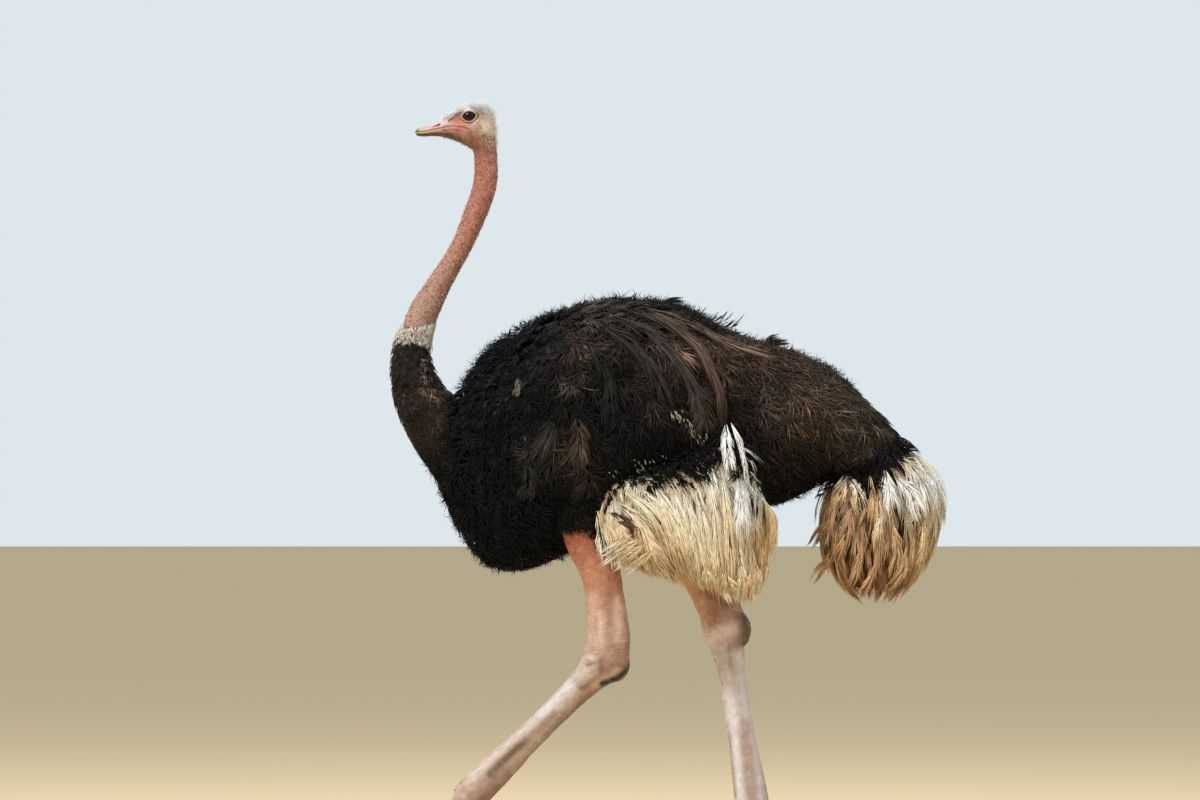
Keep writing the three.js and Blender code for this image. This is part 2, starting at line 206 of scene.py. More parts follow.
# forward of the toe joint, outwards, half height, half width
LARGE_TOE = [
    (-22, 0, 0, 0), (0, 0, 33, 33), (40, 0, 29, 27), (84, -1, 25, 28), (128, -2, 23, 27), (160, -3, 19, 23),
    (182, -4, 0, 0),
]
SMALL_TOE = [
    (-18, 4, 0, 0), (0, 16, 22, 20), (44, 44, 20, 18), (84, 62, 17, 17), (112, 70, 13, 14), (128, 73, 0, 0),
]
CLAW = [(160, -3, 0, 0), (170, -3, 13, 12), (190, -4, 10, 10), (216, -5, 0, 0)]
STRIDE = {
    "left": dict(side=-1, top=(-240, -116, 1040), hock=(-195, -112, 484), toe=(-556, -98, 134), flat=118,
                 yaw=3),
    "right": dict(side=1, top=(-88, 116, 950), hock=(127, 84, 567), toe=(199, 16, 76), flat=92, yaw=6),
}
SOLE_DEPTH = 3
# z, front x, rear x, distance from the centre line, half thickness
WING_PLUMES = [
    (1150, 90, 150, 215, 0), (1060, 40, 215, 212, 40), (965, -175, 215, 190, 76), (885, -215, 245, 172, 88),
    (790, -205, 245, 160, 82), (735, -90, 230, 158, 64), (690, 95, 212, 165, 34), (668, 120, 195, 168, 0),
]
TAIL = [
    (1150, 430, 500, 0, 0), (1090, 430, 582, 0, 70), (1010, 410, 650, 0, 112), (930, 372, 692, 0, 140),
    (850, 366, 697, 0, 150), (770, 378, 668, 0, 142), (700, 418, 620, 0, 112), (655, 482, 570, 0, 62),
    (642, 515, 555, 0, 0),
]
WING = dict(front=-505, rear=135, low=-38, high=74, thick=52)


# %% [markdown]
# `between` runs a smooth curve through the rows of a table. `Form` lays a fine net of points over the
# whole surface once, and then answers quickly for thousands of feathers at a time: where a root lies,
# which way is outward, and where a feather gets to when it creeps along the surface.

# %% The smooth curve and the forms
def between(rows, t):
    """The rows of a table on a smooth curve, at places t from 0 to 1 along it."""
    rows = np.asarray(rows, float)
    place = np.clip(t, 0, 1) * (len(rows) - 1)
    first = np.minimum(place.astype(int), len(rows) - 2)
    u = (place - first)[:, None]
    before, start = rows[np.maximum(first - 1, 0)], rows[first]
    end, after = rows[first + 1], rows[np.minimum(first + 2, len(rows) - 1)]
    leave, arrive = (end - before) / 2, (after - start) / 2
    return (
        (2 * u**3 - 3 * u**2 + 1) * start + (u**3 - 2 * u**2 + u) * leave
        + (3 * u**2 - 2 * u**3) * end + (u**3 - u**2) * arrive
    )


def unit(vectors):
    """The same directions, one long."""
    return vectors / np.maximum(np.linalg.norm(vectors, axis=-1, keepdims=True), 1e-12)


def dot(a, b):
    """The products of two lists of directions, kept as a column."""
    return (a * b).sum(-1, keepdims=True)


def step_up(low, high, value):
    """0 below low, 1 above high, smooth between them."""
    part = np.clip((value - low) / (high - low), 0, 1)
    return part * part * (3 - 2 * part)


def bell(value, wide, middle=0.0):
    """1 at the middle, fading to 0 over about `wide` on both sides."""
    return np.exp(-(((value - middle) / wide) ** 2))


def squarer(value, square):
    """A sine or cosine of a rounder (2) or squarer (more) outline."""
    return np.sign(value) * np.abs(value) ** (2 / square)


LOOK_AHEAD = 0.01  # share of a line over which its direction is taken


class Form:
    """A closed surface in metres, over t along its line and turn round it.
    Rows: x, y, z, reach up (or back), down (or front), sideways. A reach of 0 is a rounded tip."""

    def __init__(self, rows, along=None, square=2.0, lobes=(0, 0.0), swell=None, rings=240, columns=192):
        rows = np.array(rows, float)
        rows[:, 0] += SHIFT
        rows[:, 3:] **= 2
        self.rings, self.columns = rings, columns
        self.t = np.linspace(0, 1, rings + 1)
        self.turn = np.arange(columns) / columns * 2 * np.pi
        line = between(rows, self.t)
        before, after = np.maximum(self.t - LOOK_AHEAD, 0), np.minimum(self.t + LOOK_AHEAD, 1)
        ahead = between(rows[:, :3], after) - between(rows[:, :3], before)
        tangent = unit(ahead) if along is None else np.tile(np.array(along, float), (rings + 1, 1))
        sideways = np.array([0.0, 1.0, 0.0])
        across = unit(sideways - tangent * tangent[:, 1:2])
        up = np.cross(tangent, across)
        reach = np.sqrt(np.maximum(line[:, 3:], 0))
        wave = 1 - lobes[1] * (0.5 - 0.5 * np.cos(lobes[0] * self.turn))
        rise = squarer(np.sin(self.turn), square) * wave
        spread = squarer(np.cos(self.turn), square) * wave
        upward = np.where(rise > 0, reach[:, 0:1], reach[:, 1:2]) * rise
        outward = reach[:, 2:3] * spread
        if swell:
            more = swell(line[:, 0] - SHIFT, self.turn, reach[:, 2])
            upward, outward = upward * more, outward * more
        self.centre = line[:, :3] * MM
        from_line = across[:, None] * outward[..., None] + up[:, None] * upward[..., None]
        self.place = self.centre[:, None] + from_line * MM
        slope_t = np.gradient(self.place, 1 / rings, axis=0)
        wide = np.concatenate([self.place[:, -1:], self.place, self.place[:, :1]], axis=1)
        slope_turn = (wide[:, 2:] - wide[:, :-2]) / (4 * np.pi / columns)
        normal = unit(np.cross(slope_turn, slope_t))
        middle = normal[rings // 2] * (self.place[rings // 2] - self.centre[rings // 2])
        if middle.sum() < 0:
            normal = -normal
        self.nets = np.concatenate([self.place, normal, slope_t, slope_turn], axis=-1)

    def at(self, t, turn):
        """Places, outward directions and slopes along t and turn."""
        a, b = np.clip(t, 0, 1) * self.rings, (turn / (2 * np.pi)) % 1 * self.columns
        i, j = np.minimum(a.astype(int), self.rings - 1), b.astype(int) % self.columns
        u, v, k = (a - i)[:, None], (b - np.floor(b))[:, None], (j + 1) % self.columns
        found = (
            self.nets[i, j] * (1 - u) * (1 - v) + self.nets[i + 1, j] * u * (1 - v)
            + self.nets[i, k] * (1 - u) * v + self.nets[i + 1, k] * u * v
        )
        return found[:, :3], unit(found[:, 3:6]), found[:, 6:9], found[:, 9:]

    def walk(self, t, turn, way, distance):
        """Creeps `distance` metres along the surface in the direction `way`, once for each root."""
        _, normal, along, around = self.at(t, turn)
        way = unit(way - normal * dot(way, normal))
        aa, ab, bb = dot(along, along), dot(along, around), dot(around, around)
        fa, fb = dot(way, along), dot(way, around)
        solve = np.maximum(aa * bb - ab * ab, 1e-9)
        dt, dturn = (fa * bb - fb * ab) / solve, (fb * aa - fa * ab) / solve
        distance = np.asarray(distance)
        t = np.clip(t + np.clip(dt[:, 0] * distance, -0.1, 0.1), 0.004, 0.996)
        return t, turn + np.clip(dturn[:, 0] * distance, -0.5, 0.5), way

    def tube(self, rings, columns, inward=0.0, first=0.0, last=1.0):
        """Points and faces of the closed surface, `inward` millimetres inside it, one value or one a ring."""
        t = first + (last - first) * (np.arange(rings) + 0.5) / rings
        turn = np.arange(columns) / columns * 2 * np.pi
        place, normal, _, _ = self.at(np.repeat(t, columns), np.tile(turn, rings))
        inward = np.repeat(np.broadcast_to(inward, rings), columns)[:, None] * MM
        body = (place - normal * inward).reshape(rings, columns, 3)
        return closed_tube(body, body[0].mean(0), body[-1].mean(0))


def closed_tube(body, first, last):
    """Points and faces of rings of points, closed by a point at each end."""
    rings, columns = body.shape[:2]
    points = np.vstack([body.reshape(-1, 3), first, last])
    a = np.arange(columns)
    b = (a + 1) % columns
    faces = [(int(k), int(l), int(l) + columns, int(k) + columns)
             for i in range(rings - 1) for k, l in zip(a + i * columns, b + i * columns)]
    start, end = rings * columns, (rings - 1) * columns
    faces += [(start, int(l), int(k)) for k, l in zip(a, b)]
    faces += [(start + 1, int(k) + end, int(l) + end) for k, l in zip(a, b)]
    return points, faces


def linked(name, mesh):
    """A mesh as an object of the scene."""
    made = bpy.data.objects.new(name, mesh)
    bpy.context.scene.collection.objects.link(made)
    return made


def edited(mesh, change):
    """Runs one change on the faces and edges of a mesh."""
    work = bmesh.new()
    work.from_mesh(mesh)
    change(work)
    work.to_mesh(mesh)
    work.free()


def faced_outwards(work):
    bmesh.ops.recalc_face_normals(work, faces=work.faces)
    if work.calc_volume(signed=True) < 0:
        bmesh.ops.reverse_faces(work, faces=work.faces)


def piece_of(name, points, faces):
    """An object of these points and faces, with its faces turned outwards."""
    mesh = bpy.data.meshes.new(name)
    mesh.from_pydata([tuple(point) for point in points], [], faces)
    edited(mesh, faced_outwards)
    mesh.shade_smooth()
    return linked(name, mesh)


# %% The forms of this bird
FORWARDS, DOWNWARDS = (1, 0, 0), (0, 0, -1)


def slope_of(turn):
    """Degrees above (or below) the level of a form's widest line, on either side."""
    return np.degrees(np.arctan2(np.sin(turn), np.abs(np.cos(turn))))


def wing_inside(x, slope):
    """1 in the middle of the folded wing's oval, 0 on its edge and less outside."""
    middle, half = (WING["rear"] + WING["front"]) / 2, (WING["rear"] - WING["front"]) / 2
    level, span = (WING["high"] + WING["low"]) / 2, (WING["high"] - WING["low"]) / 2
    return 1 - ((x - middle) / half) ** 2 - ((slope - level) / span) ** 2


def wing_swell(x, turn, half_width):
    """The cushion that a folded wing makes on the flank, as a share of the trunk's reach."""
    inside = wing_inside(x[:, None], slope_of(turn)[None])
    return 1 + WING["thick"] * np.sqrt(np.maximum(inside, 0)) / np.maximum(half_width, 30)[:, None]


def hanging_rows(table, side):
    """Rows of a form that hangs at a distance to one side, from its front and rear outline."""
    return [((front + rear) / 2, side * aside, z, half, half, thick)
            for z, front, rear, aside, thick in table for half in [(rear - front) / 2 if thick else 0]]


def limb_rows(start, end, table):
    """Rows of a form along the straight line from one joint to the next."""
    start, end = np.array(start, float), np.array(end, float)
    way = unit(end - start)
    return [(*(start + way * distance), back, front, aside) for distance, back, front, aside in table]


THINNEST_PAD = 9  # half the height of a toe's thinnest end


def toe_rows(leg, table):
    """Rows of a toe that comes down from its joint and then lies flat on the floor."""
    (x, y, z), yaw = leg["toe"], math.radians(leg["yaw"])
    rows = []
    for i, (forward, out, high, aside) in enumerate(table):
        rest = max(high, table[min(i + 1, len(table) - 1)][2] / 2, THINNEST_PAD) - SOLE_DEPTH
        slope = (1 - min(max(forward, 0) / leg["flat"], 1)) ** 2
        ahead = forward * math.cos(yaw) - out * math.sin(yaw)
        sideways = out * math.cos(yaw) + forward * math.sin(yaw)
        rows.append((x - ahead, y + leg["side"] * sideways, rest + (z - rest) * slope, high, high, aside))
    return rows


trunk_rows = [(x, 0, z, upper, lower, aside) for x, z, upper, lower, aside in TRUNK]
body_form = Form(trunk_rows, along=FORWARDS, square=2.15, swell=wing_swell, rings=360, columns=256)
neck_form = Form([(x, 0, z, depth, depth, aside) for x, z, depth, aside in NECK], rings=360)
tail_form = Form(hanging_rows(TAIL, 0), along=DOWNWARDS, square=2.4, lobes=(8, 0.12))
plume_forms = {
    name: Form(hanging_rows(WING_PLUMES, leg["side"]), along=DOWNWARDS, square=2.4, lobes=(10, 0.08))
    for name, leg in STRIDE.items()
}
print("forms: body, neck, tail and two wing plumes")

# %% [markdown]
# ## The skin
# A plucked ostrich is one closed skin. It is built in three ways, each for what it does best, and then
# joined into one surface: the trunk is a plain inner form, since the coat hides it; the head and the
# bare neck are two forms melted together by a voxel remesh, so that the throat has no crease; and each
# leg is one long tube drawn tight over its bones' forms, whose rings carry the wrinkles and tendons.

# %% Slow waves of a few random directions, for anything that must not look machined
def waves(points, length, seed, count=12):
    """About -1 to 1 at each point; `length` is the size of a patch, in metres."""
    rng = np.random.default_rng(seed)
    directions = unit(rng.normal(size=(count, 3))) * (2 * np.pi / length) * rng.uniform(0.6, 1.5, (count, 1))
    return np.sin(points @ directions.T + rng.uniform(0, 2 * np.pi, count)).mean(1) * 2.4


def bump_at(points, centre, radius):
    """1 at a place, fading to 0 over about `radius` metres."""
    return np.exp(-((points - np.array(centre)) ** 2).sum(-1) / (radius / 1.6) ** 2)


# %% The trunk and the neck's root, well inside the coat
COAT_DEPTH, NECK_COAT_DEPTH = 34, 13
inner_rows = [(x, 0, z, *(max(reach - COAT_DEPTH, 8) for reach in reaches)) for x, z, *reaches in TRUNK[1:-1]]
inner_rows = [(-655, 0, 1082, 0, 0, 0), *inner_rows, (585, 0, 1022, 0, 0, 0)]
inner_body = Form(inner_rows, along=FORWARDS, rings=120, columns=96)
INNER_NET = (64, 56)  # rings and columns
inner_trunk = piece_of("inner_trunk", *inner_body.tube(*INNER_NET))
neck_root_rows = [(x, 0, z, depth - NECK_COAT_DEPTH, depth - NECK_COAT_DEPTH, aside - NECK_COAT_DEPTH)
                  for x, z, depth, aside in NECK[6:]]
inner_neck = piece_of("inner_neck", *Form(neck_root_rows).tube(40, 40))
print("inner trunk and neck root")

# %% Head and bare neck as one remeshed surface
BARE = 2.0  # how far the bare skin lies inside the solids, for the down on it
VOXEL = 2.7


def from_tip(behind, above):
    return TIP_X + behind, 0, TIP_Z + above


head_rows = [(*from_tip(behind, middle), top - middle if aside else 0, middle - low if aside else 0, aside)
             for behind, top, low, middle, aside in HEAD]
head_form = Form(head_rows, along=FORWARDS)
head = piece_of("head_skin", *head_form.tube(90, 64, BARE * step_up(0.1, 0.3, (np.arange(90) + 0.5) / 90)))
bare_neck = [(x, 0, z, depth - BARE, depth - BARE, aside - BARE) for x, z, depth, aside in NECK[:7]]
bare_neck.append((-697, 0, 1365, 40 - BARE, 40 - BARE, 37 - BARE))  # ends inside the neck's root
throat = piece_of("throat_skin", *Form(bare_neck).tube(120, 48))


def joined(target, *others):
    """Adds the other closed meshes to the target as one surface."""
    for other in others:
        union = target.modifiers.new("union", "BOOLEAN")
        union.operation, union.solver, union.object = "UNION", "MANIFOLD", other
    baked(target)
    for other in others:
        bpy.data.objects.remove(other)


def baked(target):
    """Turns the result of an object's modifiers into its plain mesh."""
    result = bpy.data.meshes.new_from_object(target.evaluated_get(bpy.context.evaluated_depsgraph_get()))
    target.modifiers.clear()
    target.data = result


joined(head, throat)
remesh = head.modifiers.new("remesh", "REMESH")
remesh.mode, remesh.voxel_size = "VOXEL", VOXEL * MM
baked(head)
print("head and neck skin:", len(head.data.polygons), "faces")


# %% Reading and writing the points of a mesh, and smoothing them
def points_of(mesh, field="co"):
    values = np.empty(len(mesh.vertices) * 3)
    mesh.vertices.foreach_get(field, values)
    return values.reshape(-1, 3)


def set_points(mesh, points):
    mesh.vertices.foreach_set("co", np.ascontiguousarray(points, dtype=np.float32).ravel())
    mesh.update()


def normals_of(mesh):
    return points_of(mesh, "normal")


def smoothed(mesh, points, amount, rounds):
    """Relaxes points towards their neighbours, by `amount` from 0 to 1 for each point."""
    edges = np.empty(len(mesh.edges) * 2, int)
    mesh.edges.foreach_get("vertices", edges)
    a, b = edges.reshape(-1, 2).T
    count = np.bincount(np.concatenate([a, b]), minlength=len(points))[:, None]
    for _ in range(rounds):
        total = np.zeros_like(points)
        np.add.at(total, a, points[b])
        np.add.at(total, b, points[a])
        points = points + (total / count - points) * amount[:, None]
    return points


# %% [markdown]
# The head is then worked like clay. First the nape and the throat are relaxed, where the two forms met.
# Then the mesh is made finer round the eyes and the mouth, and pushed: lids that close over the ball,
# a groove round them, a brow, the crease of the gape behind the bill, the hollow of the ear.

# %% Finer mesh where the face needs it
def tip_places(points):
    """Points as millimetres behind the bill tip, out from the middle and above the tip."""
    return np.stack([points[:, 0] / MM - SHIFT - TIP_X, points[:, 1] / MM, points[:, 2] / MM - TIP_Z], 1)


def refined(mesh, chosen):
    """Cuts each face with chosen corners into four."""
    def cut(work):
        edges = [edge for edge in work.edges if all(chosen[vertex.index] for vertex in edge.verts)]
        bmesh.ops.subdivide_edges(work, edges=edges, cuts=1, use_grid_fill=True)

    edited(mesh, cut)


places = tip_places(points_of(head.data))
nape = bump_at(places, (183, 0, -30), 75) + bump_at(places, (150, 0, -62), 60)
set_points(head.data, smoothed(head.data, points_of(head.data), np.clip(nape, 0, 0.6) + 0.06, 10))
for nearest, farthest in ((0, 40), (11, 27)):  # twice round the eyes, in millimetres from their middle
    places = tip_places(points_of(head.data))
    from_eye = np.hypot(places[:, 0] - EYE_BEHIND, places[:, 2] - EYE_ABOVE)
    refined(head.data, (from_eye < farthest) & (from_eye > nearest) & (np.abs(places[:, 1]) > 22))
print("head refined:", len(head.data.polygons), "faces")

# %% Lids, brow, gape and ear
LID, APERTURE = 1.9, (17.0, 12.4)  # the lid's thickness, and half the opening's length and height
EYE_TILT, LID_BOW = math.radians(9), 0.22  # how the opening dips to the bill, and how its corners close
GAPE = np.array([
    (62, 7.4), (74, 10.4), (84, 12.0), (97, 12.8), (109, 13), (122, 11.5), (133, 8.4), (144, 4), (154, -1.4)
])


def near_line(places, line):
    """Distance of each place from a drawn line, how far along it that is, and which side of it."""
    best = np.full(len(places), 1e9)
    along, side = np.zeros(len(places)), np.zeros(len(places))
    flat = places[:, [0, 2]]
    for i, (start, end) in enumerate(zip(line[:-1], line[1:])):
        way = end - start
        part = np.clip(((flat - start) @ way) / (way @ way), 0, 1)
        apart = flat - (start + part[:, None] * way)
        distance = np.hypot(*apart.T)
        nearer = distance < best
        best = np.where(nearer, distance, best)
        along = np.where(nearer, (i + part) / (len(line) - 1), along)
        side = np.where(nearer, np.sign(way[0] * apart[:, 1] - way[1] * apart[:, 0]), side)
    return best, along, side


def eye_frame(places):
    """Place on the eye's own axes, tipped a little down to the bill, and distance in apertures."""
    u, w = places[:, 0] - EYE_BEHIND, places[:, 2] - EYE_ABOVE
    c, s = math.cos(EYE_TILT), math.sin(EYE_TILT)
    u, w = u * c + w * s, w * c - u * s
    high = APERTURE[1] * (1 - LID_BOW * np.clip(np.abs(u) / APERTURE[0], 0, 1.6) ** 2)
    return u, w, np.hypot(u / APERTURE[0], w / np.maximum(high, 4))


points = points_of(head.data)
places, normals = tip_places(points), normals_of(head.data)
out = np.abs(places[:, 1])
sideways = np.abs(normals[:, 1])
u, w, reach = eye_frame(places)
view = places[:, [0, 2]]
EAR = (184, -13)
push = 3.4 * bump_at(view, (134, 61), 17) * step_up(14, 30, out)  # brow
push += 1.6 * bump_at(view, (158, 12), 22) * sideways  # cheek
push -= 3.0 * bump_at(view, (112, 30), 13) * sideways  # hollow before the eye
push -= 5.5 * bump_at(view, EAR, 7) * sideways
push += 1.3 * (bump_at(view, EAR, 14) - bump_at(view, EAR, 8)) * sideways  # its rim
apart, part, _ = near_line(places, GAPE)
fade = sideways * (1 - step_up(0.85, 1.0, part) * 0.8)
push += (-3.0 * bell(apart, 2.6) + 1.7 * bell(apart, 2.6, 5.5)) * fade
push += 0.35 * waves(points, 0.012, 3)
places += normals * push[:, None]

def ball_out(radius, flat, least):
    """How far out a ball round the eye's centre stands. flat: the distance from its axis, squared."""
    return EYE_ASIDE + np.sqrt(np.maximum(radius**2 - flat, least))


near = (reach < 2.6) & (out > 12)
side = np.sign(places[:, 1])
flat = u**2 + w**2
lid_out = ball_out(EYE_RADIUS + LID, flat, 64)
groove = -1.7 * bell(reach, 0.14, 1.5) + 0.9 * bell(reach, 0.1, 1.2)
groove += 1.0 * bell(reach, 0.14, 1.78) * (w > 0)
face_out = np.abs(places[:, 1])
share = step_up(1.14, 1.95, reach)
lid_out = (lid_out + groove) * (1 - share) + np.maximum(face_out, lid_out - 16) * share + groove * share
over_ball = EYE_RADIUS + 0.9
lid_out = np.where(over_ball**2 > flat, np.maximum(lid_out, ball_out(over_ball, flat, 0)), lid_out)
new_out = np.where(reach < 0.97, ball_out(EYE_RADIUS - 3.5, flat, 16), lid_out)  # the skin behind the ball
places[:, 1] = np.where(near & (sideways > 0.1), side * new_out, places[:, 1])
rim = near & (reach > 0.88) & (reach < 1.07)
pull = np.where(rim, 1 / np.maximum(reach, 0.1), 1.0)
places[:, 0] = np.where(rim, EYE_BEHIND + (places[:, 0] - EYE_BEHIND) * pull, places[:, 0])
places[:, 2] = np.where(rim, EYE_ABOVE + (places[:, 2] - EYE_ABOVE) * pull, places[:, 2])
places[:, 1] = np.where(rim, side * ball_out(EYE_RADIUS + LID, flat * pull**2, 64), places[:, 1])
points = (places + np.array([SHIFT + TIP_X, 0, TIP_Z])) * MM
set_points(head.data, points)
print("face modelled on", len(points), "points")


# %% [markdown]
# A leg's tube follows the bones with a soft bend at the hock. At each ring, rays from outside find the
# forms of thigh, shank and heel, which gives the true outline. Tendons, wrinkles and calluses are then
# added by how far they lie from the hock and how far round the leg.

# %% The legs
HEEL_HIGH, HEEL_DEEP, HEEL_WIDE = 52, 42, 33  # half sizes of the knob behind the hock


def leg_tree(leg):
    """The leg's forms as one target for rays."""
    x, y, z = leg["hock"]
    heel = []
    for above in (HEEL_HIGH, 49, 40, 25, 0, -25, -40, -49, -HEEL_HIGH):
        share = math.sqrt(1 - (above / HEEL_HIGH) ** 2)
        heel.append((x + 24, y, z + 4 + above, HEEL_DEEP * share, HEEL_DEEP * share, HEEL_WIDE * share))
    forms = (Form(limb_rows(leg["hock"], leg["top"], THIGH)), Form(limb_rows(leg["hock"], leg["toe"], SHANK)),
             Form(heel, along=DOWNWARDS))
    points, faces = [], []
    for form in forms:
        more_points, more_faces = form.tube(90, 56)
        faces += [tuple(v + len(points) for v in face) for face in more_faces]
        points += [Vector(p) for p in more_points]
    return BVHTree.FromPolygons(points, faces)


def leg_line(leg):
    """Centre line every millimetre from hip to toe joint, and the distance past the hock."""
    hock, top, toe = (np.array(leg[key], float) for key in ("hock", "top", "toe"))
    up, down = unit(top - hock), unit(toe - hock)
    s = np.arange(-470.0, 533.0)
    line = np.where(s[:, None] < 0, hock - s[:, None] * up, hock + s[:, None] * down)
    soft, spread = 30, 90  # millimetres over which the bend is rounded, and how far that reaches
    weight = np.exp(-((np.arange(-spread, spread + 1) / soft) ** 2) / 2)
    padded = np.vstack([line[0] + (line[0] - line[1]) * np.arange(spread, 0, -1)[:, None], line,
                        line[-1] + (line[-1] - line[-2]) * np.arange(1, spread + 1)[:, None]])
    line = np.stack([np.convolve(padded[:, k], weight / weight.sum(), "valid") for k in range(3)], 1)
    line[:, 0] += SHIFT
    return s, line


# on each leg: a line of X and Z, half its width, how far it stands out, strength and colour painted along it.
# Some are the leg's own colour, such as the callus and red patches; the pale lines on ridges, at the hock's
# front and down the front of the shank are painted highlight; the dark lines in grooves and high on the right
# thigh under the plumes are painted shade.
LEG_MARKS_AND_LIGHT = {
    "left": [
        ([(-187, 709), (-185, 657), (-188, 615), (-184, 573), (-181, 532)], 12, -2.5, 0.8, (176, 126, 98)),
        ([(-159, 667), (-160, 615), (-164, 573), (-162, 532)], 12, 1.5, 0.8, (220, 186, 170)),
        ([(-208, 631), (-205, 573), (-208, 521)], 11, 1.6, 0.8, (224, 194, 176)),
        ([(-233, 678), (-229, 615), (-231, 542)], 8, 0, 0.6, (214, 180, 160)),
        ([(-220, 605), (-220, 558)], 4, -1, 0.5, (188, 142, 120)),
        ([(-242, 484), (-224, 486), (-208, 495)], 4, -1.5, 0.8, (150, 110, 90)),
        ([(-255, 496), (-234, 501), (-219, 495)], 7, 1.2, 0.8, (226, 206, 190)),
        ([(-203, 485), (-203, 459), (-219, 438), (-255, 420)], 10, -4, 0.85, (146, 104, 76)),
        ([(-224, 428), (-182, 449), (-159, 467)], 9, 2, 0.8, (218, 184, 154)),
        ([(-177, 484), (-151, 478)], 6, -1, 0.6, (150, 98, 64)),
        ([(-203, 433), (-167, 447), (-138, 467), (-122, 489)], 6, 1, 1.3, (48, 34, 24)),
        ([(-281, 446), (-328, 396), (-375, 344)], 14, 1.6, 0.9, (236, 228, 226)),
        ([(-375, 344), (-422, 302), (-469, 261), (-521, 216), (-562, 176)], 13, 1.2, 0.8, (230, 208, 198)),
        ([(-328, 352), (-360, 321), (-391, 293)], 8, -2.5, 0.7, (160, 126, 98)),
        ([(-391, 293), (-438, 254), (-484, 209), (-505, 183)], 10, -4, 0.95, (122, 90, 64)),
        ([(-349, 307), (-412, 242), (-448, 198)], 8, 1.6, 0.7, (208, 178, 152)),
        ([(-224, 411), (-261, 373), (-307, 323), (-360, 266), (-401, 219), (-448, 162), (-490, 118)],
         7, 0, 0.8, (136, 94, 64)),
    ],
    "right": [
        ([(47, 716), (67, 688), (91, 660), (120, 652)], 16, -1.5, 0.8, (120, 66, 42)),
        ([(15, 708), (39, 672), (59, 632), (73, 596)], 13, 1, 0.6, (186, 134, 100)),
        ([(91, 624), (100, 596), (91, 592)], 12, -1.2, 0.8, (150, 90, 66)),
        ([(83, 550), (108, 564), (142, 576)], 15, 1.8, 0.9, (228, 206, 192)),
        ([(120, 527), (126, 503), (132, 447)], 7, 1.2, 0.8, (224, 206, 194)),
        ([(136, 527), (138, 495), (142, 471)], 7, -2.5, 0.8, (166, 138, 116)),
        ([(156, 530), (165, 471), (176, 400), (188, 330)], 15, 1, 0.9, (238, 226, 222)),
        ([(126, 440), (142, 350), (150, 270), (158, 170), (172, 60)], 13, 1.5, 1.0, (244, 234, 232)),
        ([(168, 318), (175, 270), (180, 190), (190, 120), (200, 60)], 8, -3, 0.75, (186, 156, 136)),
        ([(192, 371), (200, 290), (211, 210), (222, 120), (232, 60)], 11, 1, 0.85, (232, 214, 208)),
        ([(132, 318), (142, 210), (150, 120)], 4, 0, 0.6, (184, 132, 112)),
        ([(177, 624), (182, 580), (178, 523)], 15, 2.6, 1.1, (98, 74, 54)),
    ],
}
SOFT, RELIEF_SHARE, LONG_MARK = 1.35, 0.75, 90  # a mark's wider fade, its lower rise, and when its ends fade
# curved wrinkles: X and Z of their centre, nearest, farthest, spacing, the way they lie, how wide, height
LEG_WRINKLES = {
    "left": [((-148, 469), 34, 104, 8.2, (0.1, 1), 0.86, 0.8),
             ((-222, 417), 138, 222, 7.0, (0, 1), 0.985, 0.4),
             ((-238, 500), 8, 60, 7.0, (-0.8, -0.5), 0.8, 0.5)],
    "right": [((184, 584), 22, 88, 8.2, (-0.7, 0.75), 0.75, 1.1),
              ((60, 640), 30, 90, 7.0, (0.5, -0.8), 0.8, 0.3)],
}


def marked(name, points, colour=None):
    """How far a leg's marks and wrinkles stand out, in millimetres; or its colour, with marks and painted
    light.
    """
    places = points / MM - [SHIFT, 0, 0]
    relief = np.zeros(len(points))
    for line, wide, rise, strength, screen in LEG_MARKS_AND_LIGHT[name]:
        apart, part, _ = near_line(places, np.array(line, float))
        mask = bell(apart, wide * SOFT)
        if np.ptp(line, axis=0).max() > LONG_MARK:
            mask = mask * step_up(-0.02, 0.14, part) * step_up(1.02, 0.9, part)
        relief += rise * RELIEF_SHARE * mask
        if colour is not None:
            colour = laid(colour, mask * strength, tint(*screen))
    for (x, z), near, far, spacing, way, wide, height in LEG_WRINKLES[name]:
        flat = places[:, [0, 2]] - [x, z]
        apart = np.hypot(*flat.T)
        facing = flat @ unit(np.array(way, float)) / np.maximum(apart, 1)
        band = step_up(near - 8, near + 8, apart) * (1 - step_up(far - 14, far + 14, apart))
        band = band * step_up(wide, wide * 0.4 + 0.6, facing)
        band = band * np.clip(0.6 + 0.6 * waves(points, 0.02, 62), 0, 1)
        ripple = np.sin(2 * np.pi * (apart + 2.4 * waves(points, 0.025, 61)) / spacing)
        relief += height * ripple * band
        if colour is not None:
            # painted shade in the wrinkles' troughs and painted highlight on their crests
            colour = colour * (1 + 0.24 * np.minimum(ripple, 0.5) * band)[:, None]
    return relief if colour is None else colour


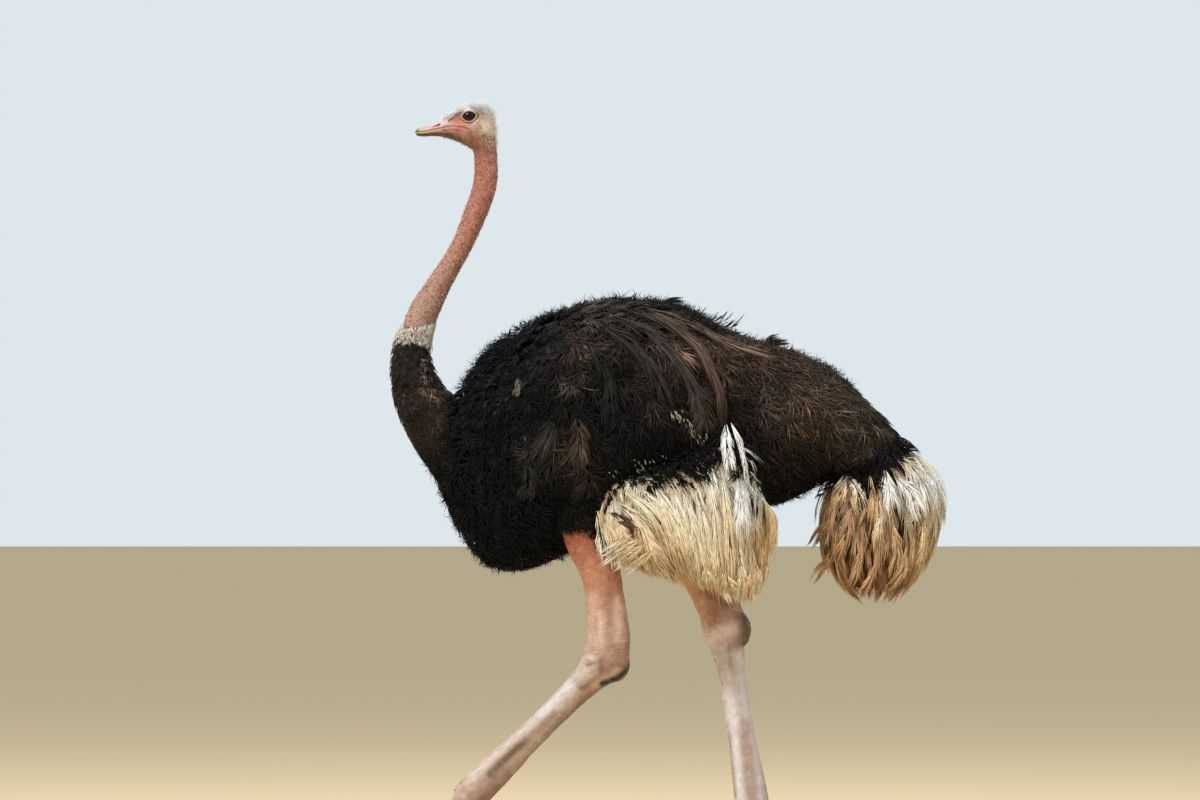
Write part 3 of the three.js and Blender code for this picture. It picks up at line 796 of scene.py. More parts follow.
def leg_relief(name, s, turn, points, seed):
    """How far the skin stands out, in millimetres; turn is 90 degrees at the back and 270 in front."""
    degrees = np.degrees(turn)

    def line_at(angle, wide):
        return bell((degrees - angle + 180) % 360 - 180, wide)

    def stretch(start, end, soft=25):
        return step_up(start - soft, start + soft, s) * (1 - step_up(end - soft, end + soft, s))

    back, front = np.clip(np.sin(turn), 0, 1), np.clip(-np.sin(turn), 0, 1)
    tendon_sides = 2.6 * (line_at(132, 15) + line_at(48, 15)) * stretch(-220, -40)
    relief = 3.2 * line_at(90, 20) * stretch(-230, -35) - tendon_sides
    relief += 1.4 * line_at(90, 24) * stretch(60, 470)  # the tendon behind the shank
    relief += 3.0 * (bell(s, 17, 2) * (line_at(232, 20) + line_at(308, 20)))  # the hock's two knobs
    relief += marked(name, points)
    drift = waves(points, 0.05, seed) * 5 + 4 * np.cos(turn * 2)
    fine = np.sin(2 * np.pi * (s + drift) / 7.6)
    relief += 0.4 * fine * (0.25 + 0.75 * back) * bell(s, 50, -28)
    relief += 0.55 * np.sin(2 * np.pi * (s + drift * 1.4) / 10.5) * (0.4 + 0.6 * front) * stretch(-160, 60)
    relief += 0.5 * np.sin(2 * np.pi * (s + drift) / 9) * stretch(430, 520, 15)
    callus = bell(s, 34, 8) * line_at(90, 52)
    relief += callus * (0.8 + 0.9 * waves(points, 0.009, seed + 1))
    relief += 0.7 * waves(points, 0.035, seed + 2) + 0.3 * waves(points, 0.011, seed + 4)
    return relief


def leg_stations():
    """Places of the leg's rings past the hock, closest round it."""
    return np.concatenate([np.arange(-468, -400, 9.0), np.arange(-400, -130, 3.0), np.arange(-130, 90, 2.0),
                           np.arange(90, 532, 3.0)])


LEG_COLUMNS, FAR = 54, 120  # FAR: where the rays start, in millimetres from the line
SKIN_LIFT = 0.8  # the skin lies this far inside the drawn outline
leg_skins, leg_guides = [], {}
for name, leg in STRIDE.items():
    tree = leg_tree(leg)
    s, line = leg_line(leg)
    stations = leg_stations()
    index = (stations - s[0]).astype(int)
    centre = line[index]
    tangent = unit(line[np.minimum(index + 6, len(line) - 1)] - line[np.maximum(index - 6, 0)])
    across = unit(np.array([0.0, 1, 0]) - tangent * tangent[:, 1:2])
    up = np.cross(tangent, across)
    turn = np.arange(LEG_COLUMNS) / LEG_COLUMNS * 2 * np.pi
    rays = across[:, None] * np.cos(turn)[None, :, None] + up[:, None] * np.sin(turn)[None, :, None]
    radius = np.full(rays.shape[:2], 3.0)
    for i in range(len(stations)):
        for j in range(LEG_COLUMNS):
            ray = rays[i, j]
            hit = tree.ray_cast(Vector((centre[i] + ray * FAR) * MM), Vector(-ray), FAR * MM)
            if hit[0] is not None:
                radius[i, j] = FAR - hit[3] / MM
    for _ in range(5):
        around = (np.roll(radius, 1, 1) + np.roll(radius, -1, 1)) / 2
        radius[1:-1] = radius[1:-1] * 0.4 + (radius[:-2] + radius[2:]) * 0.2 + around[1:-1] * 0.2
    points = (centre[:, None] + rays * (radius - SKIN_LIFT)[..., None]) * MM
    relief = leg_relief(name, np.repeat(stations, LEG_COLUMNS), np.tile(turn, len(stations)),
                        points.reshape(-1, 3), 11 if name == "left" else 17).reshape(radius.shape)
    relief *= step_up(8, 26, radius)
    points += rays * relief[..., None] * MM
    leg_skins.append(piece_of(f"leg_{name}", *closed_tube(points, points[0].mean(0), points[-1].mean(0))))
    leg_guides[name] = dict(stations=stations, centre=centre * MM, points=points, rays=rays, tangent=tangent)
    for table, label, count in ((LARGE_TOE, "large", 70), (SMALL_TOE, "small", 52)):
        form = Form(toe_rows(leg, table), square=2.3)
        toe_points, toe_faces = form.tube(count, 36)
        pads = waves(toe_points, 0.03, 5) * 0.8 + 0.6 * np.sin(toe_points[:, 0] / MM / 15 * 2 * np.pi)
        inward = unit(toe_points - form.at(np.full(1, 0.5), np.zeros(1))[0])
        toe_points = toe_points + inward * (pads * MM * 0.8)[:, None]
        toe_points[:, 2] = np.maximum(toe_points[:, 2], 0)
        leg_skins.append(piece_of(f"toe_{label}_{name}", toe_points, toe_faces))
print("legs drawn over their forms:", sum(len(part.data.polygons) for part in leg_skins), "faces")

# %% One skin
for part in leg_skins:
    edited(part.data, lambda work: bmesh.ops.triangulate(work, faces=work.faces))
skin = inner_trunk
skin.name = skin.data.name = "skin"
joined(skin, inner_neck, head, *leg_skins)
skin.data.shade_smooth()
points = points_of(skin.data)
points[:, 2] = np.maximum(points[:, 2], 0)
knuckles = sum(bump_at(points, (np.array(leg["toe"]) + [SHIFT + 8, 0, 6]) * MM, 60 * MM)
               for leg in STRIDE.values())
points = smoothed(skin.data, points, np.clip(knuckles, 0, 0.5), 8)
points[:, 2] = np.maximum(points[:, 2], 0)
set_points(skin.data, points)
triangles = sum(len(face.vertices) - 2 for face in skin.data.polygons)
print("skin:", triangles, "triangles")

# %% [markdown]
# ## Colours of the skin
# The markings are written once, as rules about places on the bird, and stored on the skin as a colour
# attribute, together with painted light and shade on the face, neck and legs. The down that grows from
# the skin reads the same rules, so both always agree.

# %% Blending colours that are known at a few places
def blended(places, anchors, reach):
    """Values known at anchors (place, values), blended to each place. `reach` is how far each counts."""
    size = places.shape[1]
    anchors = np.array(anchors, float)
    apart = ((places[:, None] - anchors[None, :, :size]) ** 2).sum(-1) / (2 * reach**2)
    weight = np.exp(-(apart - apart.min(1, keepdims=True)))
    return (weight / weight.sum(1, keepdims=True)) @ anchors[:, size:]


def tinted(rows):
    """Anchor rows [place, place, red, green, blue] with their colours made linear."""
    return [(*row[:-3], *tint(*row[-3:])) for row in rows]


# behind the bill tip, above the tip, colour; the dark rows behind and below the lower bill, 10 to 22 below
# the tip, are painted shade under the bill
FACE_COLOURS_AND_SHADE = tinted([
    (74, 26, 212, 180, 172), (84, 32, 212, 178, 168), (96, 42, 210, 190, 178), (108, 53, 216, 202, 192),
    (122, 66, 220, 210, 202), (145, 74, 226, 218, 210), (170, 74, 226, 216, 204), (192, 58, 216, 200, 178),
    (86, 20, 214, 170, 162), (96, 12, 214, 152, 142), (104, 27, 186, 108, 80), (114, 34, 190, 110, 82),
    (119, 43, 132, 84, 54), (118, 24, 196, 120, 98), (130, 16, 204, 138, 120), (142, 19, 196, 140, 120),
    (152, 12, 216, 184, 164), (162, 24, 222, 198, 176), (170, 40, 180, 136, 110), (176, 52, 186, 148, 122),
    (158, 62, 208, 190, 180), (186, 20, 238, 222, 206), (192, 36, 232, 212, 196), (202, 8, 226, 200, 182),
    (190, -2, 232, 210, 192), (172, 4, 206, 172, 150), (160, 0, 192, 134, 116), (74, -10, 112, 62, 42),
    (88, -10, 104, 56, 38), (104, -14, 104, 56, 38), (120, -22, 112, 62, 42), (96, -2, 196, 130, 110),
    (112, -4, 190, 128, 108), (128, -6, 196, 152, 130), (140, -14, 162, 108, 86), (150, -24, 148, 94, 72),
    (166, -22, 162, 110, 90), (182, -30, 168, 114, 94), (200, -24, 186, 138, 116), (140, -34, 138, 82, 62),
    (165, -48, 146, 90, 70), (190, -52, 156, 96, 78), (205, -50, 172, 118, 98),
])
# X from the neck's middle line as a share of its depth (-1 front, 1 back), Z in metres times 10, colour.
# Front and back differ partly by painted light: lighter down the front and at the top of the back, and
# darker lower down the back as painted shade.
NECK_COLOURS_AND_LIGHT = tinted([
    (-1, 18.4, 152, 96, 76), (0, 18.4, 164, 106, 84), (1, 18.4, 186, 140, 120), (-1, 17.6, 168, 110, 88),
    (0, 17.6, 166, 106, 84), (1, 17.6, 174, 118, 98), (-1, 16.7, 180, 124, 102), (0, 16.7, 172, 116, 94),
    (1, 16.7, 162, 106, 86), (-1, 15.8, 182, 134, 112), (0, 15.8, 172, 122, 100), (1, 15.8, 156, 106, 86),
    (-1, 14.8, 184, 146, 126), (0, 14.8, 174, 130, 110), (1, 14.8, 150, 108, 90), (-1, 14.0, 186, 156, 138),
    (0, 14.0, 176, 140, 120), (1, 14.0, 144, 106, 88), (0.55, 14.3, 206, 184, 158),
    (0.5, 13.9, 216, 198, 174), (1, 14.3, 128, 100, 80), (0.75, 14.9, 190, 160, 136),
])
RING_Z, RING_SLOPE = 1.345, 0.1  # height of the white ring at the neck's middle, and how it drops backwards
# the skin under the neck's dark feathers: as dark as they are, which also paints the shade in the gaps
# between them
BASE_COLOUR = tint(40, 32, 26)
NECK_ROUND, LEG_ROUND = 0.45, 0.7  # weight of the way round, against the way along, when colours are blended


def neck_share(points):
    """Where points lie between the neck's front (-1) and back (1), and its middle X."""
    order = np.argsort([row[1] for row in NECK])
    heights = np.array([NECK[i][1] for i in order]) * MM
    middle = np.interp(points[:, 2], heights, [(NECK[i][0] + SHIFT) * MM for i in order])
    depth = np.interp(points[:, 2], heights, [NECK[i][2] * MM for i in order])
    return (points[:, 0] - middle) / depth, middle


def below_ring(points):
    """Metres below the middle of the white ring, which tips down to the back."""
    share, middle = neck_share(points)
    return RING_Z - (points[:, 0] - middle) * RING_SLOPE - points[:, 2]


def head_colour(points):
    """The face: broad colours, then lines, folds and lids, with painted shade in creases and under the bill.
    """
    places = tip_places(points)
    u, w, reach = eye_frame(places)
    flat = places[:, [0, 2]]
    colour = blended(flat, FACE_COLOURS_AND_SHADE, 6.5) * (1 + 0.22 * bump_at(flat, (187, 12), 24))[:, None]

    def stain(mask, *screen):
        nonlocal colour
        colour = laid(colour, mask, tint(*screen))

    def stroke(line, wide, strength, *screen):
        """A stain along a line; width and strength are numbers, or functions of the way along it."""
        apart, part, _ = near_line(places, np.array(line, float))
        wide, strength = (value(part) if callable(value) else value for value in (wide, strength))
        stain(bell(apart, wide) * strength, *screen)

    mottle = waves(points, 0.005, 24) * step_up(95, 130, places[:, 0])
    throat = step_up(2, -14, places[:, 2]) * step_up(100, 125, places[:, 0])
    fine = 0.12 * throat * waves(points, 0.009, 26)
    colour = colour * (1 + (0.13 + 0.12 * throat) * mottle + fine)[:, None]
    stripe = [(87, 25), (98, 33.5), (107, 38.5), (115, 45.5), (121, 50)]  # dark, from the bill to the eye
    stroke(stripe, lambda part: 4 + 4.5 * part, 0.6, 134, 80, 52)
    stroke(stripe, lambda part: 1.6 + 3.4 * np.sin(np.pi * part) ** 2, lambda part: 1 - 0.3 * part,
           52, 24, 14)
    # painted shade: a dark band along the underside of the lower bill and the jaw
    jaw_shadow = [(70, -6), (90, -9), (106, -12), (122, -18)]
    stroke(jaw_shadow, 5.0, lambda part: (1 - 0.6 * part) * 0.85, 56, 28, 20)
    stroke([(74, 4.5), (96, 6.5), (112, 3.5), (126, -3)], 1.1, 0.6, 112, 56, 44)
    stroke([(86, 16.8), (99, 18), (114, 16.6), (128, 13)], 2.0, 0.7, 228, 184, 172)
    stain(bump_at(flat * np.array([1, 2.2]), (124, 6.6 * 2.2), 18) * 0.9, 208, 100, 94)
    stain(bump_at(flat * np.array([1, 1.6]), (148, -3 * 1.6), 7.5) * 1.1, 172, 84, 72)
    stroke(GAPE, 1.2, lambda part: (1 - 0.5 * part) * 0.75, 116, 58, 46)
    stroke(GAPE, 1.6, lambda part: step_up(0.55, 0.75, part) * 0.5, 150, 60, 56)
    low = np.clip(step_up(6, -3, w) + step_up(5, 13, u), 0, 1)
    stain(bell(reach, 0.085, 1.14) * (0.1 + 0.9 * low), 232, 212, 198)
    # painted shadow: a dark band just below the pale rim of the lower lid
    stain(bell(reach, 0.09, 1.38) * low * 0.8, 92, 50, 40)
    stain(bell(reach, 0.22, 1.4) * (1 - low) * 0.6, 196, 166, 158)
    # painted shade in the crease between the upper lid and the brow
    stain(bell(reach, 0.06, 1.72) * (1 - low) * 0.5, 120, 84, 74)
    # painted shade: near black on the skin inside the lid's opening, behind the ball
    stain(1 - step_up(1.0, 1.06, reach), 30, 20, 17)
    stain(bell(reach, 0.05, 1.05) * (1 - low) * 0.8, 44, 28, 24)
    stroke([(174, 2), (182, -5), (189, -13)], 2.6, 0.7, 234, 220, 196)
    # painted shade in the hollow of the ear
    stain(bump_at(flat, (183, -15.5), 7.5) * 1.1, 58, 34, 28)
    return colour


def neck_colour(points):
    """The speckled neck, dark below the white ring."""
    share, _ = neck_share(points)
    places = np.stack([np.clip(share, -1.2, 1.2) * NECK_ROUND, points[:, 2] * 10], 1)
    anchors = [(row[0] * NECK_ROUND, *row[1:]) for row in NECK_COLOURS_AND_LIGHT]
    colour = blended(places, anchors, 0.42)
    speckle = 0.6 * waves(points, 0.0055, 21) + 0.4 * waves(points, 0.014, 22)
    pepper = np.random.default_rng(25).normal(0, 0.19, len(points))
    low = (0.2 * step_up(1.62, 1.45, points[:, 2]) + 0.06)[:, None]
    colour = colour * (np.array([1.22, 1.05, 1.04]) - low) * (1.0 + 0.26 * speckle + pepper)[:, None]
    dark = step_up(-0.006, 0.022, below_ring(points) + 0.01 * waves(points, 0.03, 23))
    return laid(colour, dark, BASE_COLOUR)


# distance past the hock in hundreds of millimetres, front (-1) to back (1), colour; paler at the front
# and darker at the back, partly as painted sheen and painted shade
LEG_COLOURS_AND_LIGHT = tinted([
    (-4.2, 0, 166, 84, 54), (-3.4, -1, 170, 90, 58), (-3.4, 0, 176, 98, 66), (-3.4, 1, 168, 88, 60),
    (-2.4, -1, 186, 122, 92), (-2.4, 0, 196, 138, 106), (-2.4, 1, 178, 112, 84), (-1.3, -1, 200, 150, 120),
    (-1.3, 0, 206, 162, 136), (-1.3, 1, 184, 136, 110), (-0.5, -1, 204, 166, 144), (-0.5, 0, 196, 154, 130),
    (-0.5, 1, 176, 132, 106), (0.1, -1, 214, 186, 168), (0.1, 0, 198, 162, 140), (0.1, 1, 160, 122, 96),
    (0.6, -1, 226, 208, 196), (0.6, 0, 206, 178, 160), (0.6, 1, 166, 126, 102), (1.8, -1, 228, 210, 200),
    (1.8, 0, 204, 176, 162), (1.8, 1, 172, 140, 122), (3.4, -1, 226, 204, 192), (3.4, 0, 198, 168, 152),
    (3.4, 1, 166, 130, 112), (4.8, -1, 212, 182, 166), (4.8, 0, 196, 160, 140), (4.8, 1, 160, 122, 102),
    (5.6, 0, 178, 146, 128), (6.6, 0, 160, 130, 114), (7.6, 0, 150, 122, 106),
])


def leg_places(points):
    """For each point: distance past the hock of the nearer leg in metres, and front (-1) to back (1)."""
    best = np.full(len(points), 1e9)
    found = np.zeros((len(points), 2))
    for name, guide in leg_guides.items():
        for start in range(0, len(points), 8000):
            part = slice(start, start + 8000)
            apart = ((points[part, None] - guide["centre"][None, ::4]) ** 2).sum(-1)
            nearest = apart.argmin(1) * 4
            distance = apart.min(1)
            offset = points[part] - guide["centre"][nearest]
            along = guide["stations"][nearest] * MM + (offset * guide["tangent"][nearest]).sum(1)
            back = np.cross(guide["tangent"][nearest], [0, 1, 0])
            share = (offset * back).sum(1) / np.maximum(np.linalg.norm(offset, axis=1), 1e-6)
            nearer = distance < best[part]
            best[part] = np.where(nearer, distance, best[part])
            found[part] = np.where(nearer[:, None], np.stack([along, share], 1), found[part])
    return found


MIDLINE, STRIDE_HEIGHT = SHIFT - 40, 0.55  # between the shanks, and the height below which it parts the legs


def leg_colour(points):
    """The bare leg: red at the thigh, pale down the front of the shank, with its marks and painted light."""
    along, share = leg_places(points).T
    places = np.stack([along * 10, share * LEG_ROUND], 1)
    anchors = [(row[0], row[1] * LEG_ROUND, *row[2:]) for row in LEG_COLOURS_AND_LIGHT]
    colour = blended(places, anchors, 0.34)
    rough = 0.5 * waves(points, 0.007, 31) + 0.5 * waves(points, 0.02, 32)
    strong = 0.10 + 0.12 * (1 - step_up(-0.3, -0.2, along))
    colour = colour * (1 + strong * rough)[:, None]
    red = np.clip(waves(points, 0.009, 33), 0, 1) * (1 - step_up(-0.33, -0.2, along)) * 0.5
    colour = laid(colour, red, tint(140, 56, 34))
    left = np.where(points[:, 2] < STRIDE_HEIGHT, points[:, 0] < MIDLINE * MM, points[:, 1] < 0)
    for name, own in (("left", left), ("right", ~left)):
        colour[own] = marked(name, points[own], colour[own])
    # painted light: the right leg above the hock and the middle of the left thigh made lighter, as fill from
    # the ground
    mid_thigh_light = step_up(-0.34, -0.24, along) * step_up(-0.02, -0.1, along)
    colour = colour * (1 + 0.38 * step_up(0.12, -0.04, along) * ~left + 0.16 * mid_thigh_light * left)[:, None]
    grained = np.stack([along * 0.22, share * 0.04, points[:, 1] * 0.3], 1)
    colour = colour * (1 + 0.09 * waves(grained, 0.008, 35) + 0.05 * waves(grained, 0.003, 36))[:, None]
    # dark where the thigh goes in under the coat: like the coat, and painted shade under it
    return laid(colour, step_up(0.85, 0.885, points[:, 2]), tint(20, 17, 15))


inner_points, inner_faces = inner_body.tube(*INNER_NET)
inner_tree = BVHTree.FromPolygons([Vector(p) for p in inner_points], inner_faces)


def inner_distance(points):
    """Metres from the plain inner trunk, so that its own skin can be told from the legs."""
    return np.array([inner_tree.find_nearest(Vector(p))[3] if p[2] > 0.7 else 1.0 for p in points])


def skin_colours(points):
    """Colours of the whole skin, dark like the coat where only the coat is rooted, also as painted shade in
    its gaps.
    """
    colour = np.tile(tint(20, 16, 14), (len(points), 1))
    neck = (points[:, 2] > 1.25) & (neck_share(points)[0] < 1.6)
    face = tip_places(points)
    head_share = step_up(-78, -50, face[:, 2]) * step_up(60, 62, face[:, 0])
    colour[neck] = neck_colour(points[neck])
    top = neck & (head_share > 0)
    colour[top] = laid(colour[top], head_share[top], head_colour(points[top]))
    legs = (points[:, 2] < 0.9) & (inner_distance(points) > 0.004)
    colour[legs] = leg_colour(points[legs])
    return colour


SKIN_DEPTH = 0.76  # the tables hold colours as lit; skin itself is this much darker


def colour_layer(mesh, name, colours):
    """Stores a colour for each point of a mesh."""
    layer = mesh.attributes.new(name, "FLOAT_COLOR", "POINT")
    full = np.ones((len(mesh.vertices), 4), np.float32)
    full[:, :3] = np.clip(colours, 0, 1)
    layer.data.foreach_set("color", full.ravel())


points = points_of(skin.data)
colour_layer(skin.data, "markings_and_shading", skin_colours(points) * SKIN_DEPTH)
print("markings stored on the skin")


# %% [markdown]
# ## Materials
# Three shader groups carry the effects that several materials share. `skin grain` gives pores, fine
# creases and small scales; `feather tone` breaks up the colour of strands; `horn wear` streaks horn.
# Each material keeps its own Principled shader, with its plain numbers set on its sockets.

# %% Tools for node trees
def shader_group(name, inputs, outputs):
    """A new group with named sockets, its inputs as sources and its outputs as targets."""
    group = bpy.data.node_groups.new(name, "ShaderNodeTree")
    for label, kind, value in inputs:
        socket = group.interface.new_socket(label, in_out="INPUT", socket_type=f"NodeSocket{kind}")
        if value is not None:
            socket.default_value = value
    for label, kind in outputs:
        group.interface.new_socket(label, in_out="OUTPUT", socket_type=f"NodeSocket{kind}")
    return group, group.nodes.new("NodeGroupInput").outputs, group.nodes.new("NodeGroupOutput").inputs


def node(tree, kind, links=(), **settings):
    """A node of a tree, with its settings, and its inputs linked or set."""
    made = tree.nodes.new(kind if "Node" in kind else f"ShaderNode{kind}")
    for key, value in settings.items():
        setattr(made, key, value)
    for key, value in links:
        if isinstance(value, bpy.types.NodeSocket):
            tree.links.new(value, made.inputs[key])
        else:
            made.inputs[key].default_value = value
    return made


def maths(tree, operation, a, b=0.0, clamp=False):
    return node(tree, "Math", [(0, a), (1, b)], operation=operation, use_clamp=clamp).outputs[0]


def mixed(tree, factor, a, b, blend="MIX"):
    made = node(tree, "Mix", data_type="RGBA", blend_type=blend, clamp_result=True)
    for socket, value in ((made.inputs[0], factor), (made.inputs[6], a), (made.inputs[7], b)):
        if isinstance(value, bpy.types.NodeSocket):
            tree.links.new(value, socket)
        else:
            socket.default_value = value
    return made.outputs[2]


def noise(tree, where, scale, detail=3.0, rough=0.55):
    values = [("Vector", where), ("Scale", scale), ("Detail", detail), ("Roughness", rough)]
    return node(tree, "TexNoise", values).outputs[0]


def grey(tree, value):
    return node(tree, "CombineColor", [(0, value), (1, value), (2, value)]).outputs[0]


def scaled(tree, value, by, plus):
    return maths(tree, "ADD", maths(tree, "MULTIPLY", value, by), plus)


def varied(tree, colour, value, amount):
    """A colour made darker and lighter by a value round a half."""
    change = scaled(tree, maths(tree, "SUBTRACT", value, 0.5), amount, 1.0)
    return mixed(tree, 1.0, colour, grey(tree, change), "MULTIPLY")


# %% The shared groups
grain, given, gives = shader_group(
    "skin grain",
    [("Colour", "Color", None), ("Place", "Vector", None), ("Pore size", "Float", 0.003),
     ("Scaliness", "Float", 0.0), ("Strength", "Float", 0.2)],
    [("Colour", "Color"), ("Height", "Float"), ("Roughness", "Float")],
)
per_pore = maths(grain, "DIVIDE", 1.0, given["Pore size"])
per_scale = maths(grain, "MULTIPLY", per_pore, 0.6)
scales = node(grain, "TexVoronoi", [("Vector", given["Place"]), ("Scale", per_scale)],
              feature="DISTANCE_TO_EDGE").outputs["Distance"]
edges = maths(grain, "MULTIPLY", maths(grain, "MINIMUM", scales, 0.18), 5.5)
pores = noise(grain, given["Place"], per_pore, 4.0)
broad = noise(grain, given["Place"], maths(grain, "MULTIPLY", per_pore, 0.16), 3.0)
smoothness = maths(grain, "SUBTRACT", 1.0, given["Scaliness"])
relief = maths(grain, "ADD", maths(grain, "MULTIPLY", pores, smoothness),
               maths(grain, "MULTIPLY", edges, given["Scaliness"]))
tone = maths(grain, "ADD", maths(grain, "MULTIPLY", maths(grain, "SUBTRACT", relief, 0.5), given["Strength"]),
             maths(grain, "MULTIPLY", maths(grain, "SUBTRACT", broad, 0.5), given["Strength"]))
toned = mixed(grain, 1.0, given["Colour"], grey(grain, maths(grain, "ADD", tone, 1.0)), "MULTIPLY")
brighter = mixed(grain, maths(grain, "MULTIPLY", tone, 1.2, clamp=True), toned, (1.0, 0.9, 0.82, 1))
grain.links.new(brighter, gives["Colour"])
grain.links.new(relief, gives["Height"])
grain.links.new(scaled(grain, broad, 0.25, 0.42), gives["Roughness"])

feather, given, gives = shader_group(
    "feather tone",
    [("Colour", "Color", None), ("Place", "Vector", None), ("Patch size", "Float", 0.03),
     ("Contrast", "Float", 0.4)],
    [("Colour", "Color"), ("Roughness", "Float")],
)
patches = noise(feather, given["Place"], maths(feather, "DIVIDE", 1.0, given["Patch size"]), 4.0, 0.6)
feather.links.new(varied(feather, given["Colour"], patches, given["Contrast"]), gives["Colour"])
feather.links.new(scaled(feather, patches, 0.3, 0.42), gives["Roughness"])

horn, given, gives = shader_group(
    "horn wear",
    [("Colour", "Color", None), ("Place", "Vector", None), ("Streak", "Float", 120.0),
     ("Amount", "Float", 0.25)],
    [("Colour", "Color"), ("Height", "Float"), ("Roughness", "Float")],
)
stretched = node(horn, "Mapping", [("Vector", given["Place"]), ("Scale", (0.22, 1, 1))]).outputs[0]
streaks = noise(horn, stretched, given["Streak"], 5.0, 0.65)
horn.links.new(varied(horn, given["Colour"], streaks, given["Amount"]), gives["Colour"])
horn.links.new(streaks, gives["Height"])
horn.links.new(scaled(horn, streaks, 0.3, 0.28), gives["Roughness"])


# %% Materials made with them
def new_material(name, gloss):
    """A material's tree, its Principled shader and the place on the object."""
    material = bpy.data.materials.new(name)
    material.use_nodes = True
    tree = material.node_tree
    shader = tree.nodes["Principled BSDF"]
    shader.inputs["Specular IOR Level"].default_value = gloss
    return material, tree, shader, node(tree, "TexCoord").outputs["Object"]


def material_of(name, group, gloss, depth=0.0, **values):
    """A material that reads its piece's markings and shading through a shared group. depth: of its bumps, in
    metres.
    """
    material, tree, shader, place = new_material(name, gloss)
    markings_and_shading = node(tree, "Attribute", attribute_name="markings_and_shading").outputs["Color"]
    values = [(key.replace("_", " "), value) for key, value in values.items()]
    shared = node(tree, "Group", (), node_tree=group)
    for key, value in [("Colour", markings_and_shading), ("Place", place), *values]:
        if isinstance(value, bpy.types.NodeSocket):
            tree.links.new(value, shared.inputs[key])
        else:
            shared.inputs[key].default_value = value
    tree.links.new(shared.outputs["Colour"], shader.inputs["Base Color"])
    tree.links.new(shared.outputs["Roughness"], shader.inputs["Roughness"])
    if depth:
        heights = [("Height", shared.outputs["Height"]), ("Distance", depth), ("Strength", 1.0)]
        bump = node(tree, "Bump", heights)
        tree.links.new(bump.outputs[0], shader.inputs["Normal"])
    return material


bare_skin = material_of("bare skin", grain, 0.4, 0.0009, Pore_size=0.0024, Scaliness=0.12, Strength=0.3)
scute_skin = material_of("scute", grain, 0.5, 0.0003, Pore_size=0.0016, Scaliness=0.1, Strength=0.2)
lash_horn = material_of("lash", grain, 0.3, 0.0001, Pore_size=0.001, Scaliness=0.0, Strength=0.1)
black_feathers = material_of("black feathers", feather, 0.14, Patch_size=0.02, Contrast=0.8)
pale_feathers = material_of("pale feathers", feather, 0.25, Patch_size=0.03, Contrast=0.25)
down = material_of("down", feather, 0.2, Patch_size=0.01, Contrast=0.3)
bill_horn = material_of("bill horn", horn, 0.5, 0.0004, Streak=160.0, Amount=0.35)
claw_horn = material_of("claw horn", horn, 0.5, 0.0006, Streak=220.0, Amount=0.6)
skin.data.materials.clear()
skin.data.materials.append(bare_skin)
print("materials:", len(bpy.data.materials))

# %% [markdown]
# ## Feathers
# An ostrich's feathers have no hooks that zip their barbs together, so each one is a loose, soft tuft.
# Here a tuft is a dozen thin strands that leave the skin at one place, fan out, and creep along the
# form as the real ones lie. Each strand is a closed sliver of three sides that ends in a point. The
# work is done for all strands at once, and joined meshes hold them, so nothing is left as hair or
# instances.

# %% A coat gathers strands and becomes one mesh
PATCH = 0.003  # how much of the map each strand takes


def finished(made, slot, *replaced, material=None):
    """Hands a piece over: its material, body, and the nodes whose place it takes; slot is not used."""
    if material:
        made.data.materials.clear()
        made.data.materials.append(material)
    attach(made, "root")
    if replaced:
        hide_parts(*replaced)


